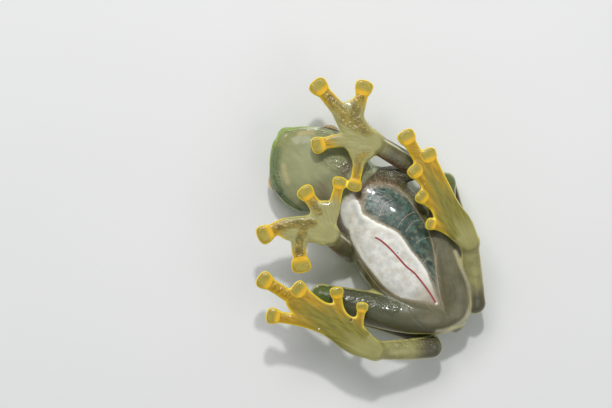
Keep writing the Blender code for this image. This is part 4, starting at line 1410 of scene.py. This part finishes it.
class FrogShape(bpy.types.PropertyGroup):
    """Sizes of the skin and the eyes."""

    step: length("Grid step", "Distance between the corners of the skin", 0.0001)
    granules: length("Granules", "Height of the grains on wet, loose skin", 0.00006)
    streaks: length("Streaks", "Height of the streaks on palms and soles", 0.000025)
    vein: length("Vein", "Height of the vein over the organ sac", 0.00003)
    organ: length("Organ", "Height of the organ sac over the belly", 0.00005)
    eye_radius: length("Eye radius", "Radius of the eyeballs", 0.00144)
    cornea: length("Cornea", "How far the cornea stands proud of the eyeball", 0.00005)


class FrogColours(bpy.types.PropertyGroup):
    """Colours of the skin and the eyes."""

    organ: colour("Organ", "Silver white of the organ sac", tone(224, 223, 214))
    membrane: colour("Membrane", "Cream skin round the organs", tone(176, 160, 134))
    gut: colour("Gut", "Dark teal of the gut", tone(64, 86, 76))
    vein: colour("Vein", "Red of the belly vein", tone(150, 46, 50))
    vessel: colour("Vessels", "Pink of the fine vessels", tone(214, 180, 162))
    flank: colour("Flank", "Olive skin of the sides", tone(96, 92, 58))
    pelvis: colour("Pelvis", "Clear grey skin of the hips", tone(106, 102, 80))
    chest: colour("Chest", "Brown skin of the chest", tone(98, 82, 58))
    throat: colour("Throat", "Sage skin of the throat", tone(140, 143, 104))
    lip: colour("Lip", "Teal green of the lip", tone(98, 118, 78))
    thigh: colour("Limbs", "Clear olive skin of arms and thighs", tone(102, 98, 72))
    shank: colour("Shanks", "Dark brown of the shanks", tone(72, 62, 30))
    palm: colour("Palms", "Pale sage of palms and heels", tone(160, 155, 100))
    sole: colour("Soles", "Olive yellow of the soles", tone(122, 116, 42))
    gold: colour("Digits", "Golden yellow of fingers, toes and discs", tone(232, 184, 28))
    disc: colour("Discs", "Grey olive in the middle of the discs", tone(144, 136, 58))
    # Partly the digits' own yellow, partly a painted glow of light through their edges.
    rim: colour("Rims", "Bright yellow along the digits", tone(252, 226, 48))
    fringe: colour("Fringe", "Yellow green along the limbs and the jaw", tone(196, 196, 104))
    back: colour("Back", "Green of the back", tone(128, 152, 62))
    back_spot: colour("Back spots", "Pale spots of the back", tone(216, 214, 110))
    iris: colour("Iris", "Gold of the iris", tone(206, 168, 74))


class FrogStage(bpy.types.PropertyGroup):
    """The camera, lights and floor."""

    floor: colour("Floor", "Colour of the floor", (0.74, 0.74, 0.73))
    height: length("Camera height", "Height of the camera over the palms and soles", 0.1785, 4)
    lens: number("Lens", "Focal length of the camera in millimetres", 105.0)
    key: number("Key light", "Power of the large soft light", 0.3, "POWER")
    fill: number("Fill light", "Power of the second soft light", 0.2, "POWER")
    glint: number("Glint light", "Power of the small light", 0.26, "POWER")
    surround: number("Surround", "Strength of the light from all sides", 0.34)


class GLASSFROG_OT_skin(bpy.types.Operator):
    """Cover the flesh of the frog with one skin"""

    bl_idname = "glassfrog.skin"
    bl_label = "Build skin"

    def execute(self, context):
        skin = make_skin(context.scene.frog_shape)
        skin.data.materials.append(skin_material(context.scene.frog_colours))
        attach(skin, BODY)
        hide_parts(*[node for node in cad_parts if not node.startswith("eye")])
        return {"FINISHED"}


class GLASSFROG_OT_eyes(bpy.types.Operator):
    """Set an eye in each socket"""

    bl_idname = "glassfrog.eyes"
    bl_label = "Build eyes"

    def execute(self, context):
        material = eye_material(context.scene.frog_colours)
        for side, mirror in SIDES.items():
            eye = make_eye("eyeball_" + side, mirror, context.scene.frog_shape)
            eye.data.materials.append(material)
            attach(eye, BODY)
            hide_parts("eye_" + side)
        return {"FINISHED"}


class GLASSFROG_OT_stage(bpy.types.Operator):
    """Lay the floor and set the lights and the camera"""

    bl_idname = "glassfrog.stage"
    bl_label = "Set stage"

    def execute(self, context):
        stage = context.scene.frog_stage
        context.scene.view_settings.view_transform = "Standard"
        shape = bmesh.new()
        bmesh.ops.create_grid(shape, x_segments=1, y_segments=1, size=1.0)
        mesh = bpy.data.meshes.new("floor")
        shape.to_mesh(mesh)
        shape.free()
        mesh.materials.append(floor_material(stage.floor))
        add_object("floor", mesh)
        camera_data = bpy.data.cameras.new("camera")
        camera_data.lens = stage.lens
        camera_data.sensor_width = 36.0
        camera_data.clip_start = 0.001
        camera = add_object("camera", camera_data)
        camera.location = (*CAMERA_SPOT, stage.height + PANE * MM)
        context.scene.camera = camera
        for name, (place, size) in LIGHTS.items():
            data = bpy.data.lights.new(name, "AREA")
            data.energy = getattr(stage, name)
            data.size = size
            light = add_object(name, data)
            light.location = place
            light.rotation_euler = (-light.location).to_track_quat("-Z", "Y").to_euler()
        world = bpy.data.worlds.new("studio")
        world.use_nodes = True
        surround = world.node_tree.nodes["Background"].inputs
        surround["Color"].default_value = (0.94, 0.97, 1.0, 1.0)
        surround["Strength"].default_value = stage.surround
        context.scene.world = world
        return {"FINISHED"}


class GLASSFROG_PT_panel(bpy.types.Panel):
    """Lists the pieces and their settings"""

    bl_idname = "GLASSFROG_PT_panel"
    bl_label = "Glass Frog"
    bl_space_type = "VIEW_3D"
    bl_region_type = "UI"
    bl_category = "Frog"

    def draw(self, context):
        layout = self.layout
        layout.operator("glassfrog.skin")
        layout.operator("glassfrog.eyes")
        layout.operator("glassfrog.stage")
        for group in (context.scene.frog_shape, context.scene.frog_colours, context.scene.frog_stage):
            box = layout.box()
            for name in group.__annotations__:
                box.prop(group, name)


CLASSES = (
    FrogShape,
    FrogColours,
    FrogStage,
    GLASSFROG_OT_skin,
    GLASSFROG_OT_eyes,
    GLASSFROG_OT_stage,
    GLASSFROG_PT_panel,
)


def register():
    for cls in CLASSES:
        bpy.utils.register_class(cls)
    bpy.types.Scene.frog_shape = bpy.props.PointerProperty(type=FrogShape)
    bpy.types.Scene.frog_colours = bpy.props.PointerProperty(type=FrogColours)
    bpy.types.Scene.frog_stage = bpy.props.PointerProperty(type=FrogStage)


def unregister():
    del bpy.types.Scene.frog_shape
    del bpy.types.Scene.frog_colours
    del bpy.types.Scene.frog_stage
    for cls in reversed(CLASSES):
        bpy.utils.unregister_class(cls)


def main():
    register()
    bpy.ops.glassfrog.skin()
    bpy.ops.glassfrog.eyes()
    bpy.ops.glassfrog.stage()


if __name__ == "__main__":
    main()
